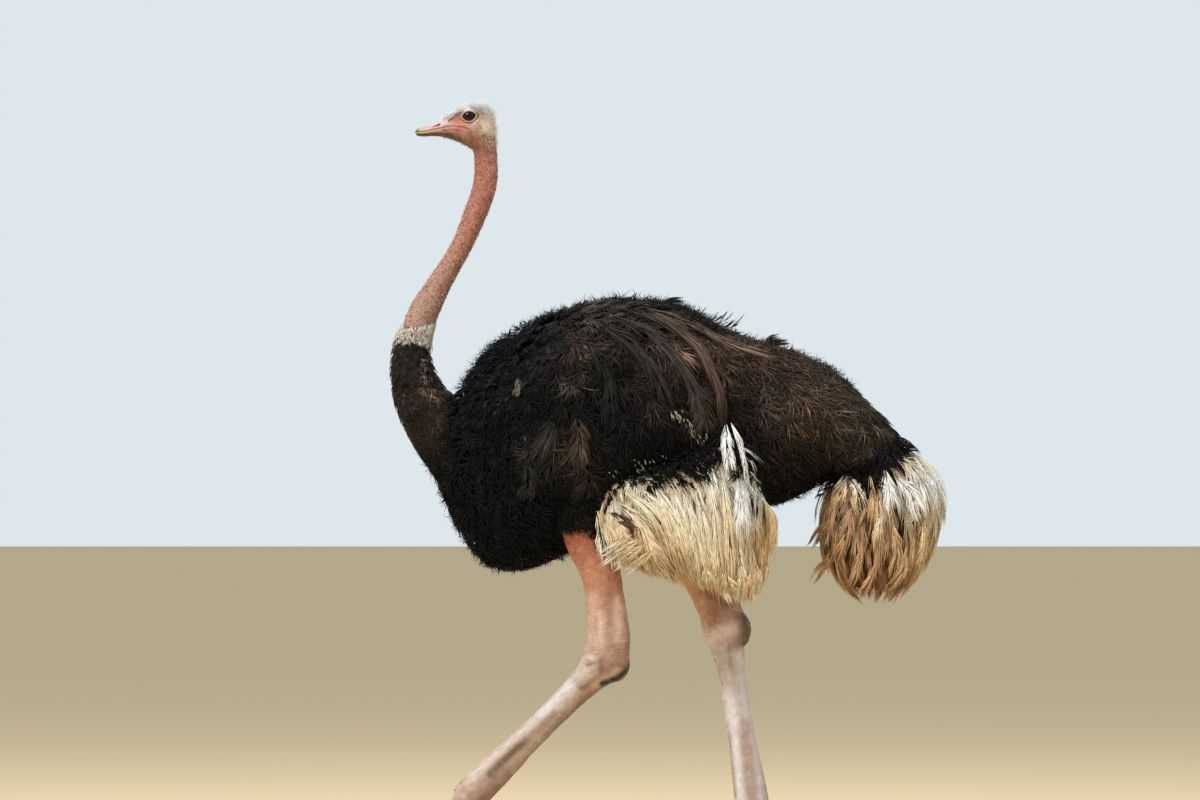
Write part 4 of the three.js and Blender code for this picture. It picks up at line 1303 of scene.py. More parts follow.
class Coat:
    """Strands, and closed forms under them, that end as one mesh."""

    def __init__(self):
        self.groups = []
        self.solids = []

    def add(self, points, outward, width, colour, where, thick=0.4):
        """Strands: points and outward directions (n, k, 3), widths in metres (n, k), colours (n, k, 3),
        and each root's place on the map (n, 2). The last point is the tip."""
        way = unit(np.gradient(points, axis=1))
        side = unit(np.cross(way, outward))
        self.groups.append((points, side, unit(np.cross(side, way)), width, colour, where, thick))

    def strand_mesh(self, group):
        """Slivers of three sides that end in a point, for one group of strands."""
        points, side, outward, width, colour, where, thick = group
        n, k = width.shape
        half, ridge = side * width[..., None] / 2, outward * (width * thick)[..., None]
        rings = np.stack([points + half, points + ridge, points - half], 2)[:, :-1]
        places = np.concatenate([rings.reshape(n, -1, 3), points[:, -1:]], 1)
        colours = np.concatenate([np.repeat(colour[:, :-1], 3, 1), colour[:, -1:]], 1)
        along = np.repeat(np.linspace(-0.5, 0.5, k)[:-1], 3)
        across = np.tile([-0.35, 0, 0.35], k - 1)
        spot = np.stack([np.append(along, 0.5), np.append(across, 0)], 1) * PATCH
        maps = where[:, None] + spot[None]
        quads = [(3 * i + a, 3 * i + 3 + a, 3 * i + 3 + b, 3 * i + b)
                 for i in range(k - 2) for a, b in ((0, 1), (1, 2), (2, 0))]
        tip, last = 3 * (k - 1), 3 * (k - 2)
        triangles = [(0, 1, 2)] + [(last + a, tip, last + b) for a, b in ((0, 1), (1, 2), (2, 0))]
        return places, colours, maps, quads, triangles

    def build(self, name, material, slot, *replaced):
        """Joins everything gathered into one finished piece."""
        vertices, colours, maps, loops, sizes, offset = [], [], [], [], [], 0
        for group in self.groups:
            places, tones, spots, quads, triangles = self.strand_mesh(group)
            n, each = places.shape[:2]
            base = offset + np.arange(n)[:, None] * each
            for faces in (quads, triangles):
                if faces:
                    flat = np.array(faces)
                    loops.append((base[:, :, None] + flat[None]).reshape(-1))
                    sizes.append(np.full(n * len(faces), flat.shape[1]))
            vertices.append(places.reshape(-1, 3))
            colours.append(tones.reshape(-1, 3))
            maps.append(spots.reshape(-1, 2))
            offset += n * each
        for points, faces, colour, where in self.solids:
            for size in (3, 4):
                flat = np.array([face for face in faces if len(face) == size])
                if len(flat):
                    loops.append((flat + offset).reshape(-1))
                    sizes.append(np.full(len(flat), size))
            vertices.append(points)
            colours.append(colour)
            maps.append(where)
            offset += len(points)
        vertices, colours, maps = (np.concatenate(part) for part in (vertices, colours, maps))
        loops, sizes = np.concatenate(loops), np.concatenate(sizes)
        mesh = bpy.data.meshes.new(name)
        mesh.vertices.add(len(vertices))
        mesh.vertices.foreach_set("co", vertices.astype(np.float32).ravel())
        mesh.loops.add(len(loops))
        mesh.loops.foreach_set("vertex_index", loops.astype(np.int32))
        mesh.polygons.add(len(sizes))
        mesh.polygons.foreach_set("loop_start", np.concatenate([[0], np.cumsum(sizes)[:-1]]).astype(np.int32))
        mesh.update(calc_edges=True)
        mesh.shade_smooth()
        colour_layer(mesh, "markings_and_shading", colours)
        layer = mesh.uv_layers.new(name="OFBake")
        layer.data.foreach_set("uv", np.clip(maps[loops], 0.001, 0.999).astype(np.float32).ravel())
        finished(linked(name, mesh), slot, *replaced, material=material)
        print(f"{name}: {int((sizes - 2).sum())} triangles")


# %% Roots, spread evenly over a form
CANDIDATES, CLOSEST = 3.2, 0.86  # tries for each root that fits, and least distance as a share of the spacing


def roots(form, spacing, keep=None, seed=1):
    """t, turn and places of roots about `spacing` metres apart (a number, or a function of places)."""
    rng = np.random.default_rng(seed)
    place = form.place
    down = np.linalg.norm(np.diff(place, axis=0), axis=-1)
    round_it = np.linalg.norm(np.roll(place, -1, 1) - place, axis=-1)[:-1]
    middles = (place[:-1] + place[1:]) / 2
    flat = middles.reshape(-1, 3)
    area = (down * round_it).ravel()
    if keep is not None:
        area = area * keep(flat)
    gap = spacing(flat) if callable(spacing) else np.full(len(flat), spacing)
    weight = area / gap**2
    count = int(weight.sum() * CANDIDATES)
    pick = rng.choice(len(flat), count, p=weight / weight.sum())
    i, j = pick // form.columns, pick % form.columns
    t = (i + rng.random(count)) / form.rings
    turn = (j + rng.random(count)) / form.columns * 2 * np.pi
    places = form.at(t, turn)[0]
    taken, kept = {}, []
    cell = float(gap.min())
    keys = np.floor(places / cell).astype(int)
    wide = int(np.ceil(gap.max() / cell))
    near = list(itertools.product(range(-wide, wide + 1), repeat=3))
    gaps = gap[pick] * CLOSEST
    for n in range(count):
        key, here, limit = keys[n], places[n], gaps[n] ** 2
        if all(((here - other) @ (here - other)) > limit
               for a, b, c in near for other in taken.get((key[0] + a, key[1] + b, key[2] + c), ())):
            taken.setdefault(tuple(key), []).append(here)
            kept.append(n)
    return t[kept], turn[kept], form.at(t[kept], turn[kept])[0]


# %% Tufts on a form
def spread(value, count):
    """A value for each of so many tufts, from one for all or one for each."""
    value = np.asarray(value, float)
    return np.full(count, float(value)) if value.ndim == 0 else value


def tufts(form, t, turn, way, *, strands, length, width, fan, apart, depth, top, colour, where, seed,
          plump=0.0, bend=0.2, frizz=0.06, steps=4, round_tip=0.3, rise=0.55, curl=0.0, tone=0.16,
          shaded_root=0.45, loose=0.0, fleck=0.0):
    """Strands of tufts at the roots t, turn that leave in the directions `way`. Lengths are in metres.
    fan: radians that the outer strands turn away. apart: half the width of the tuft's root. depth: how far
    the root lies inside the form, top: how far the tip stands out of it. plump: how far the middle strands
    stand above the outer ones. bend: a tuft's own sweep. loose: how freely it hangs where the form turns
    under. fleck: the share of strands that catch the light. colour: (m, 3) or (m, 2, 3) for root and tip."""
    rng = np.random.default_rng(seed)
    m = len(t)
    own = np.repeat(np.arange(m), strands)
    n = m * strands
    xi = np.tile(np.linspace(-1, 1, strands), m) + rng.normal(0, 0.6 / strands, n)
    length, width, depth, top = (spread(value, m)[own] for value in (length, width, depth, top))
    fan, apart, plump = (spread(value, m)[own] for value in (fan, apart, plump))
    t, turn, way = t[own], turn[own], way[own]
    _, normal, _, _ = form.at(t, turn)
    way = unit(way - normal * dot(way, normal))
    beside = np.cross(way, normal)
    t, turn, _ = form.walk(t, turn, beside, xi * apart)
    long = length * (1 - round_tip * np.abs(xi) ** 1.6 + rng.normal(0, 0.07, n))
    sweep = (rng.normal(0, bend, m)[own] + rng.normal(0, frizz, n))
    points, normals = [], []
    share = np.linspace(0, 1, steps) ** 0.9
    for i in range(steps):
        place, normal, _, _ = form.at(t, turn)
        way = unit(way - normal * dot(way, normal))
        lift = share[i] ** rise
        crest = np.sin(np.pi * min(share[i] * 1.15, 1) / 1.3)  # highest a little before the tip
        height = -depth + (depth + top) * lift + plump * (1 - xi**2) * crest
        if curl:
            height = height + rng.normal(0, curl, n) * share[i] ** 2
        place = place + normal * height[:, None]
        if loose and i > 1:
            freely = points[-1] + unit(way + np.array([0, 0, -0.8])) * (long * part)[:, None]
            place += (freely - place) * (loose * step_up(-0.25, 0.35, -normal[:, 2]))[:, None]
        points.append(place)
        normals.append(normal)
        if i < steps - 1:
            part = share[i + 1] - share[i]
            angle = (fan * xi * (1.5 - share[i]) + sweep * 2 + rng.normal(0, frizz, n) * 2) * part * 1.6
            beside = np.cross(normal, way)
            way = way * np.cos(angle)[:, None] + beside * np.sin(angle)[:, None]
            t, turn, way = form.walk(t, turn, way, long * part)
    points, normals = np.stack(points, 1), np.stack(normals, 1)
    outline = np.interp(share, [0, 0.25, 0.6, 0.85, 1], [0.6, 0.95, 1.0, 0.62, 0.1])
    widths = (width * rng.uniform(0.75, 1.25, n))[:, None] * outline
    colour = np.asarray(colour)
    colour = np.repeat(colour[:, None], 2, 1) if colour.ndim == 2 else colour
    colour = colour[own]
    blend = share[None, :, None]
    tones = colour[:, :1] * (1 - blend) + colour[:, 1:] * blend
    # painted shade: roots darker than tips, as if shaded by the strands that lie over them
    tones = tones * (shaded_root + (1 - shaded_root) * np.minimum(share * 1.5, 1))[None, :, None]
    lightness = np.exp(rng.normal(0, tone, m)[own] + rng.normal(0, tone, n))
    lightness = lightness * np.where(rng.random(n) < fleck, rng.uniform(1.6, 2.8, n), 1)
    tones = tones * lightness[:, None, None]
    lean = rng.normal(0, 0.16, points.shape[0])
    normals = unit(normals + np.cross(normals, unit(np.gradient(points, axis=1))) * lean[:, None, None])
    return points, normals, widths, tones, np.repeat(where, strands, 0)


def unwrap(t, turn, low, high, first, last):
    """A root's place on the map of its own form: along it and round it, within the piece's part."""
    across = (turn - first) % (2 * np.pi) / max(last - first, 1e-6)
    return np.stack([0.01 + 0.98 * (t - low) / (high - low), 0.01 + 0.98 * np.clip(across, 0, 1)], 1)


def edge_strip(rings, columns):
    """The place of a closed tube's points on the map: a strip along its edge, which no tuft reaches."""
    along = 0.01 + 0.98 * (np.arange(rings) + 0.5) / rings
    across = 0.9925 + 0.006 * np.arange(columns) / columns
    strip = np.stack(np.meshgrid(across, along), -1).reshape(-1, 2)
    return np.vstack([strip, [0.9955, 0.01], [0.9955, 0.99]])


# %% Single plumes, laid by a line on a form's side
def near_side(form, side):
    """The places of a form's grid that look to one side."""
    place = form.place
    return (place[..., 1] - place[..., 1].mean(1, keepdims=True)) * side > 0


side_trees = {}


def side_of(form, spots, side):
    """How far out a form's side stands at places X and Z, in metres; of several forms, the outermost."""
    if isinstance(form, tuple):
        return side * np.max([side * side_of(one, spots, side) for one in form], axis=0)
    if (id(form), side) not in side_trees:
        places = form.place[near_side(form, side)]
        tree = KDTree(len(places))
        for number, (x, _, z) in enumerate(places):
            tree.insert((x, 0, z), number)
        tree.balance()
        side_trees[id(form), side] = tree, places[:, 1]
    tree, out = side_trees[id(form), side]
    result = np.empty(len(spots))
    for number, (x, z) in enumerate(spots):
        found = tree.find_n((x, 0, z), 4)
        weight = np.array([1 / (apart**2 + 1e-5) for _, _, apart in found])
        result[number] = (out[[index for _, index, _ in found]] * weight).sum() / weight.sum()
    return result


def plume(coat, form, line, half, barbs, run, colours, seed, side=-1, lift=6.0, plump=5.0, width=2.4,
          outline=((0, 0.5), (0.3, 1.0), (0.85, 0.95), (1, 0.6)), tone=0.1, ragged=0.12, steps=4):
    """Barbs that leave a shaft on both sides. line: X and Z on the bird's lines, in millimetres. half: half
    the plume's width, run: the share of its length that one barb runs. colours: a row for root to tip."""
    rng = np.random.default_rng(seed)
    line = np.asarray(line, float)
    knots = np.append(0, np.cumsum(np.linalg.norm(np.diff(line, axis=0), axis=1)))
    length, knots = knots[-1], knots / knots[-1]
    fine = np.linspace(0, 1, 25)
    curve = np.stack([np.interp(fine, knots, line[:, k]) for k in (0, 1)], 1)
    for _ in range(3):
        curve[1:-1] = (curve[:-2] + curve[1:-1] * 2 + curve[2:]) / 4
    start = rng.random(barbs) ** 0.8 * (1 - run * 0.7)
    hand = rng.uniform(-1, 1, barbs)
    hand = np.sign(hand) * np.abs(hand) ** 0.7
    points, shares = [], []
    for step in np.linspace(0, 1, steps):
        at = start + run * step * rng.uniform(1 - ragged, 1 + ragged, barbs)
        inside = np.clip(at, 0, 1)
        here = np.stack([np.interp(inside, fine, curve[:, k]) for k in (0, 1)], 1)
        ahead = unit(np.stack([np.interp(np.clip(at + 0.04, 0.04, 1), fine, curve[:, k]) -
                               np.interp(np.clip(at, 0, 0.96), fine, curve[:, k]) for k in (0, 1)], 1))
        here += ahead * ((at - inside) * length)[:, None]
        opened = 0.3 + 0.7 * step_up(-0.15, 0.8, step)
        reach = np.interp(inside, *zip(*outline)) * half * hand * opened
        rng.random(barbs)  # drawn for the order alone
        here += np.stack([-ahead[:, 1], ahead[:, 0]], 1) * reach[:, None]
        spots = (here + [SHIFT, 0]) * MM
        out = side_of(form, spots, side)
        height = lift + plump * (1 - (reach / half) ** 2) + rng.normal(0, 0.5, barbs)
        out += side * height * MM * step_up(-0.1, 0.25, at)
        points.append(np.stack([spots[:, 0], out, spots[:, 1]], 1))
        shares.append(inside)
    points, shares = np.stack(points, 1), np.stack(shares, 1)
    colours = np.asarray(colours)
    rows = np.linspace(0, 1, len(colours))
    tones = np.stack([np.interp(shares, rows, colours[:, k]) for k in range(3)], -1)
    tones = tones * np.exp(rng.normal(0, tone, barbs))[:, None, None]
    normals = unit(np.stack([hand * 0.35, np.full(barbs, float(side)), rng.normal(0.1, 0.15, barbs)], 1))
    normals = np.repeat(normals[:, None], steps, 1)
    taper = np.interp(np.linspace(0, 1, steps), [0, 0.3, 0.75, 1], [0.7, 1, 0.8, 0.12])
    widths = width * MM * rng.uniform(0.7, 1.2, barbs)[:, None] * taper
    t, turn = root_at(form[0] if isinstance(form, tuple) else form, *line[0], side)
    where = np.repeat(unwrap(np.array([t]), np.array([turn]), 0, 1, 0, 2 * np.pi), barbs, 0)
    coat.add(points, normals, widths, tones, where)


def root_at(form, x, z, side=-1):
    """The root on one side of a form that stands at X and Z, in millimetres on the bird's lines."""
    place = form.place
    apart = (place[..., 0] - (x + SHIFT) * MM) ** 2 + (place[..., 2] - z * MM) ** 2
    apart = apart + ~near_side(form, side) * 10
    i, j = np.unravel_index(apart.argmin(), apart.shape)
    return form.t[i], form.turn[j]


# %% [markdown]
# ### The lie of the body's coat
# A few anchors on the flank say which way the feathers run there, and the rest is blended between them.
# They fall down the breast and the flank, turn backwards over the rump, and sweep back along the spine.

# %% Which way the feathers lie, how long they are and what colour they have
# X and Z in millimetres, then the direction
LIE = [
    (-600, 1150, 0.10, -1), (-640, 1000, -0.15, -1), (-560, 830, 0.15, -1), (-460, 740, 0.8, -0.5),
    (-300, 780, 1, -0.1), (-500, 1280, -0.25, -1), (-420, 1400, 0.5, -0.5), (-300, 1150, -0.12, -1),
    (-250, 1350, 0.25, -0.95), (-60, 1330, 0.75, -0.65), (60, 1180, 0.35, -0.95), (-150, 1000, 0.25, -1),
    (100, 1380, 1, -0.2), (350, 1290, 0.9, -0.45), (300, 1120, 0.75, -0.7), (540, 1100, 0.6, -0.8),
    (350, 980, 0.5, -0.85), (150, 930, 0.6, -0.8), (-200, 1440, 1, 0),
]
# X and Z in millimetres, feather length, colour
PLUMAGE = [(x, z, length, *tint(*colour)) for x, z, length, colour in [
    (-640, 1050, 60, (9, 13, 13)), (-560, 850, 70, (8, 11, 11)), (-450, 760, 72, (7, 10, 10)),
    (-520, 1250, 52, (12, 15, 14)), (-420, 1380, 52, (22, 20, 18)), (-350, 1200, 76, (14, 18, 18)),
    (-250, 1380, 76, (40, 35, 31)), (-120, 1430, 80, (30, 26, 23)), (-150, 1250, 100, (30, 28, 26)),
    (-250, 1050, 108, (15, 19, 20)), (-100, 950, 96, (14, 19, 20)), (40, 1330, 100, (44, 35, 30)),
    (60, 1130, 104, (22, 21, 20)), (250, 1300, 108, (72, 56, 46)), (250, 1150, 118, (52, 43, 37)),
    (400, 1230, 112, (66, 53, 44)), (500, 1080, 104, (31, 30, 27)), (300, 980, 100, (16, 16, 15)),
    (150, 920, 84, (12, 13, 13)), (-250, 800, 70, (8, 11, 11)), (580, 1020, 88, (20, 21, 20)),
]]
# X and Z in millimetres, half width, half height, colour of patches over it
PATCHES = [(x, z, wide, high, tint(*colour)) for x, z, wide, high, colour in [
    (-273, 1341, 40, 24, (92, 72, 60)), (-284, 1261, 30, 26, (86, 76, 68)),
    (-223, 1413, 60, 18, (80, 72, 64)), (-20, 1335, 85, 42, (94, 73, 62)), (56, 1150, 48, 64, (66, 56, 50)),
    (-103, 1235, 66, 78, (46, 42, 39)), (-276, 1063, 40, 56, (78, 66, 58)),
    (-368, 1076, 48, 48, (58, 56, 53)), (-241, 943, 48, 48, (52, 44, 40)),
    (162, 1328, 110, 60, (94, 73, 60)), (320, 1208, 150, 90, (84, 69, 58)),
    (453, 1129, 90, 66, (70, 59, 52)), (114, 1213, 32, 60, (22, 20, 19)), (29, 1420, 110, 22, (20, 18, 18)),
    (-421, 1314, 70, 70, (13, 16, 16)), (-50, 1023, 150, 60, (10, 13, 14)),
    (294, 968, 140, 40, (9, 11, 11)), (-100, 1110, 110, 60, (12, 16, 17)),
    (-200, 1190, 60, 40, (13, 16, 17)), (-480, 1000, 70, 200, (9, 13, 13)),
]]
LIE_REACH, PLUMAGE_REACH = 85, 80


def flank_places(points):
    """X and Z of places, in millimetres on the bird's lines."""
    return np.stack([points[:, 0] / MM - SHIFT, points[:, 2] / MM], 1)


def lie_of(points, jitter, seed):
    """The way that feathers run at places on the body, a little apart from each other."""
    rng = np.random.default_rng(seed)
    way = blended(flank_places(points), LIE, LIE_REACH)
    full = np.stack([way[:, 0], np.zeros(len(way)), way[:, 1]], 1)
    turn = rng.normal(0, jitter, len(way)) + 0.35 * waves(points, 0.16, seed + 1)
    c, s = np.cos(turn), np.sin(turn)
    return np.stack([full[:, 0] * c - full[:, 2] * s, full[:, 1], full[:, 0] * s + full[:, 2] * c], 1)


def body_part(points, turn):
    """Which piece of the coat a place on the body belongs to."""
    x, z = flank_places(points).T
    slope = slope_of(turn)
    left = np.cos(turn) < 0
    part = np.where(slope < -48, "belly", np.where(left, "side_left", "side_right"))
    part = np.where(x < -505, "breast", part)
    part = np.where((slope > 68) & (x > -430), "back", part)
    part = np.where(x > 250, "rump", part)
    return np.where(wing_inside(x, slope) > 0, np.where(left, "wing_left", "wing_right"), part)


# %% The body's coat
def body_spacing(p):
    """Closer tufts along the back."""
    return np.where((p[:, 2] > 1.3) & (np.abs(p[:, 1]) < 0.13), 0.0155, 0.0185)


t, turn, places = roots(body_form, body_spacing, seed=41)
plumage = blended(flank_places(places), PLUMAGE, PLUMAGE_REACH)
parts = body_part(places, turn)
colour = plumage[:, 1:]
flank = flank_places(places)
for x, z, wide, high, screen in PATCHES:
    share = np.exp(-(((flank[:, 0] - x) / wide) ** 2) - ((flank[:, 1] - z) / high) ** 2)
    colour = laid(colour, share, screen)
way = lie_of(places, 0.12, 5)
sheen = np.clip(waves(places * np.array([1, 1, 0.6]), 0.06, 8) + 0.1, 0, 1)[:, None] ** 1.5
tips = colour * (0.8 + 1.5 * sheen)
for part in np.unique(parts):
    chosen = parts == part
    count = int(chosen.sum())
    rng = np.random.default_rng(100 + len(part))
    low, high = t[chosen].min(), t[chosen].max()
    first = 0.0 if part in ("breast", "rump") else turn[chosen].min()
    last = 2 * np.pi if part in ("breast", "rump") else turn[chosen].max()
    if part in ("side_right", "wing_right"):
        first, last = -np.pi / 2, np.pi / 2
    coat = Coat()
    coat.add(*tufts(
        body_form, t[chosen], turn[chosen], way[chosen], strands=11,
        length=plumage[chosen, 0] * MM * rng.uniform(0.8, 1.25, count), width=3.7 * MM,
        fan=0.5, apart=7 * MM, depth=28 * MM, top=rng.uniform(-10, 3, count) * MM, plump=6 * MM, frizz=0.09,
        tone=0.28, fleck=0.06, colour=np.stack([colour[chosen] * 0.8, tips[chosen]], 1),
        where=unwrap(t[chosen], turn[chosen], low, high, first, last), seed=7 + len(part)))
    replaced = [part] if part in ("wing_left", "wing_right") else []
    coat.build(f"coat_{part}", black_feathers, "black_feather", *replaced)
print("body:", len(t), "tufts")

# %% Single feathers of the body: drooping vanes, long arcs over the wing, pale tips
# line of X and Z in millimetres, half width, barbs, run, colour of the middle, lightness from root to tip
BODY_PLUMES = [
    ([(-270, 1130), (-258, 1065), (-268, 1002)], 31, 110, 0.3, (70, 58, 50), (0.6, 1.1, 1.2)),
    ([(-335, 1125), (-345, 1075), (-375, 1020)], 34, 90, 0.32, (56, 53, 49), (0.5, 1.0, 1.1)),
    ([(-238, 990), (-240, 940), (-265, 890)], 38, 90, 0.32, (50, 43, 39), (0.6, 1.0, 1.0)),
    ([(28, 1222), (66, 1155), (64, 1075)], 42, 130, 0.32, (64, 55, 49), (0.6, 1.0, 0.8)),
    ([(-138, 1412), (-37, 1388), (56, 1315), (108, 1195), (114, 1105)], 17, 90, 0.3, (84, 66, 57),
     (0.6, 1.2, 0.9)),
    ([(-183, 1400), (-77, 1355), (3, 1275), (48, 1180), (70, 1090)], 22, 100, 0.3, (62, 53, 47),
     (0.6, 1.2, 0.8)),
    ([(-222, 1382), (-130, 1330), (-64, 1250), (-29, 1155)], 24, 90, 0.3, (48, 42, 39), (0.6, 1.2, 0.9)),
    ([(-103, 1422), (29, 1380), (135, 1328), (241, 1294)], 15, 70, 0.28, (96, 76, 64), (0.7, 1.2, 1.0)),
    ([(-240, 1330), (-200, 1260), (-180, 1180), (-190, 1100)], 26, 80, 0.3, (28, 30, 30), (0.6, 1.2, 0.9)),
    ([(-427, 1235), (-424, 1212), (-432, 1188)], 12, 26, 0.5, (112, 102, 90), (0.6, 1.0, 1.0)),
    ([(-400, 1010), (-392, 960), (-410, 915)], 30, 60, 0.35, (46, 46, 44), (0.5, 1.0, 1.1)),
    ([(222, 1322), (244, 1342), (262, 1350)], 12, 30, 0.6, (30, 28, 27), (0.7, 1.0, 1.0)),
    ([(236, 1318), (262, 1334), (284, 1336)], 10, 30, 0.6, (26, 25, 24), (0.7, 1.0, 1.0)),
    ([(-60, 1432), (-25, 1446), (5, 1448)], 9, 26, 0.6, (24, 24, 24), (0.7, 1.0, 1.0)),
]
accents, pale = Coat(), Coat()
rng = np.random.default_rng(229)
for number in range(26):  # small spikes that stand along the rear of the wing's ridge
    x, long = rng.uniform(28, 146), rng.uniform(14, 30)
    z = np.interp(x, [28, 90, 146], [1402, 1388, 1374]) + rng.uniform(-6, 2)
    up = rng.uniform(0.3, 1.1)
    line = [(x, z), (x + long * 0.6, z + long * up * 0.5), (x + long, z + long * up)]
    plume(accents, body_form, line, 2.5, 5, 0.7, tint(20, 20, 19) * np.ones((2, 1)), 250 + number,
          rng.choice((-1, 1)), lift=1, plump=2, width=1.3, tone=0.2, ragged=0.5)
for number, (line, half, barbs, run, screen, light) in enumerate(BODY_PLUMES):
    for side in (-1, 1):
        plume(accents, body_form, line, half, barbs, run, tint(*screen) * np.array(light)[:, None],
              200 + 2 * number + side, side, lift=3, plump=6, width=2.2, tone=0.4, ragged=0.2)
rng = np.random.default_rng(230)
FLECK_ROW = [(-26, 1150), (-8, 1142), (8, 1134), (24, 1112), (44, 1088), (62, 1070), (82, 1058), (98, 1044)]
for number in range(88):
    if number < 52:
        x = rng.uniform(-26, 104)
        z = np.interp(x, *zip(*FLECK_ROW)) + rng.normal(0, 7)
        long, bright = rng.uniform(8, 22), rng.uniform(0.4, 1)
    else:
        x, z = rng.normal(-72, 48), rng.normal(1004, 17)
        long, bright = rng.uniform(4, 10), rng.uniform(0.4, 0.9)
    for side in (-1, 1):
        plume(pale, body_form, [(x, z), (x + long * rng.normal(0.35, 0.25), z - long)], 2.2, 3, 0.7,
              tint(248, 238, 218) * bright * np.array([0.5, 1])[:, None], 300 + number, side, lift=10,
              plump=2, width=1.0, ragged=0.5)
accents.build("coat_vanes", black_feathers, "black_feather")
pale.build("coat_pale_tips", pale_feathers, "white_feather")

# %% Wisps that break the outline
def on_outline(p):
    """Along the back, the belly and the breast."""
    return ((np.abs(p[:, 1]) < 0.11) & ((p[:, 2] > 1.22) | (p[:, 2] < 0.98))) | (p[:, 0] < -0.6)


t, turn, places = roots(body_form, lambda p: np.where(p[:, 2] > 1.2, 0.017, 0.024), on_outline, seed=47)
plumage = blended(flank_places(places), PLUMAGE, PLUMAGE_REACH)
rng = np.random.default_rng(48)
count = len(t)
wisps = Coat()
wisps.add(*tufts(
    body_form, t, turn, lie_of(places, 0.5, 49), strands=5, steps=3, length=rng.uniform(26, 52, count) * MM,
    width=2.2 * MM, fan=0.7, apart=4 * MM, depth=6 * MM, top=rng.uniform(3, 19, count) * MM, plump=3 * MM,
    rise=1.1, curl=5 * MM, bend=0.5, frizz=0.2, colour=np.stack([plumage[:, 1:] * 0.6, plumage[:, 1:]], 1),
    where=unwrap(t, turn, 0, 1, 0, 2 * np.pi), seed=50, tone=0.3))
wisps.build("coat_wisps", black_feathers, "black_feather")

# %% [markdown]
# ### Neck base and white ring
# From the ring down, the neck wears short dark feathers. The ring is a few rows of cream tufts like
# fingers, which point down over the dark ones and run further down at the back of the neck.

# %% Neck base and ring
def downwards_of(form, t, turn, back=0.0):
    """Down the line of a form, with a share of backwards."""
    _, _, along, _ = form.at(t, turn)
    return unit(unit(along) + np.array([back, 0, 0]))


# pale mottled lines of X and Z in millimetres, and how wide they are
NECK_LINES = [
    ([(-676, 1296), (-674, 1250), (-668, 1205)], 8), ([(-684, 1222), (-660, 1214), (-636, 1200)], 7),
]
t, turn, places = roots(
    neck_form, 0.0132, lambda p: (below_ring(p) > -0.002) & (p[:, 0] > -0.9) & (p[:, 2] > 0.93), 51)
under = below_ring(places)
rng = np.random.default_rng(52)
share, _ = neck_share(places)
rust = bell(places[:, 2] - 1.10 + 0.30 * (places[:, 0] + 0.61), 0.035) * step_up(0.1, 0.8, share)
colour = tint(58, 47, 39)[None] * (1 + 0.6 * waves(places, 0.05, 53))[:, None]
colour = laid(laid(colour, rust, tint(112, 80, 58)), step_up(0.2, 0.34, under), tint(24, 23, 22))
for line, wide in NECK_LINES:
    apart, _, _ = near_line(flank_places(places)[:, [0, 0, 1]] * [1, 0, 1], np.array(line, float))
    colour = laid(colour, bell(apart, wide) * rng.uniform(0.1, 0.8, len(t)), tint(172, 150, 126))
neck_coat = Coat()
neck_coat.add(*tufts(
    neck_form, t, turn, downwards_of(neck_form, t, turn, 0.05), strands=11, steps=3,
    length=(24 + 30 * step_up(0.02, 0.3, under)) * MM * rng.uniform(0.7, 1.3, len(t)), width=1.7 * MM,
    fan=0.3, apart=8 * MM, depth=11 * MM, top=rng.uniform(-5, -0.5, len(t)) * MM, plump=2.5 * MM,
    tone=0.3, fleck=0.09, frizz=0.13, colour=np.stack([colour * 0.7, colour * 1.25], 1),
    where=unwrap(t, turn, t.min(), t.max(), 0, 2 * np.pi), seed=54))
heights = neck_form.place[..., 2].mean(1)
first, last = neck_form.t[np.argmax(heights < 1.338)], neck_form.t[np.argmax(heights < 1.05)]
points, faces = neck_form.tube(50, 40, 6.5, first, last)
# a dark form under the neck's tufts: painted shade in the gaps between them
neck_coat.solids.append((points, faces, np.tile(tint(26, 21, 18), (len(points), 1)), edge_strip(50, 40)))
neck_coat.build("coat_neck", black_feathers, "brown_feather")

def on_ring(p):
    """A ragged band round the neck, wider at its back."""
    back = np.clip(neck_share(p)[0], 0, 1)
    apart = np.abs(below_ring(p) + 0.013 + 0.012 * back + 0.006 * waves(p, 0.02, 59))
    return (apart < 0.017 + 0.014 * back) & (p[:, 2] > 1.25) & (p[:, 0] < -0.6)


t, turn, places = roots(neck_form, 0.0058, on_ring, 55)
rng = np.random.default_rng(56)
share, _ = neck_share(places)
finger = 0.5 + 0.5 * waves(places * np.array([1, 1, 0.2]), 0.03, 57)
pale = tint(250, 242, 228)[None] * rng.uniform(0.8, 1.05, (len(t), 1))
ring_coat = Coat()
ring_coat.add(*tufts(
    neck_form, t, turn, downwards_of(neck_form, t, turn, 0.45), strands=7, steps=3, bend=0.14, frizz=0.1,
    length=(12 + 16 * finger + 9 * np.clip(share, 0, 1)) * MM * rng.uniform(0.6, 1.25, len(t)),
    width=1.1 * MM, fan=0.3, apart=3 * MM, depth=5 * MM, top=rng.uniform(0, 3.5, len(t)) * MM,
    plump=1.0 * MM, shaded_root=0.8, tone=0.13, colour=np.stack([pale * 0.85, pale], 1),
    where=unwrap(t, turn, t.min(), t.max(), 0, 2 * np.pi), seed=58))
ring_coat.build("coat_ring", down, "white_feather")

# %% [markdown]
# ### Down of head and neck
# Head and neck are nearly bare. Fine bristly down stands on them: a pale brush over the crown, tufts at
# the ear, short hairs under the throat and all along the neck, each a sliver half a millimetre thick.

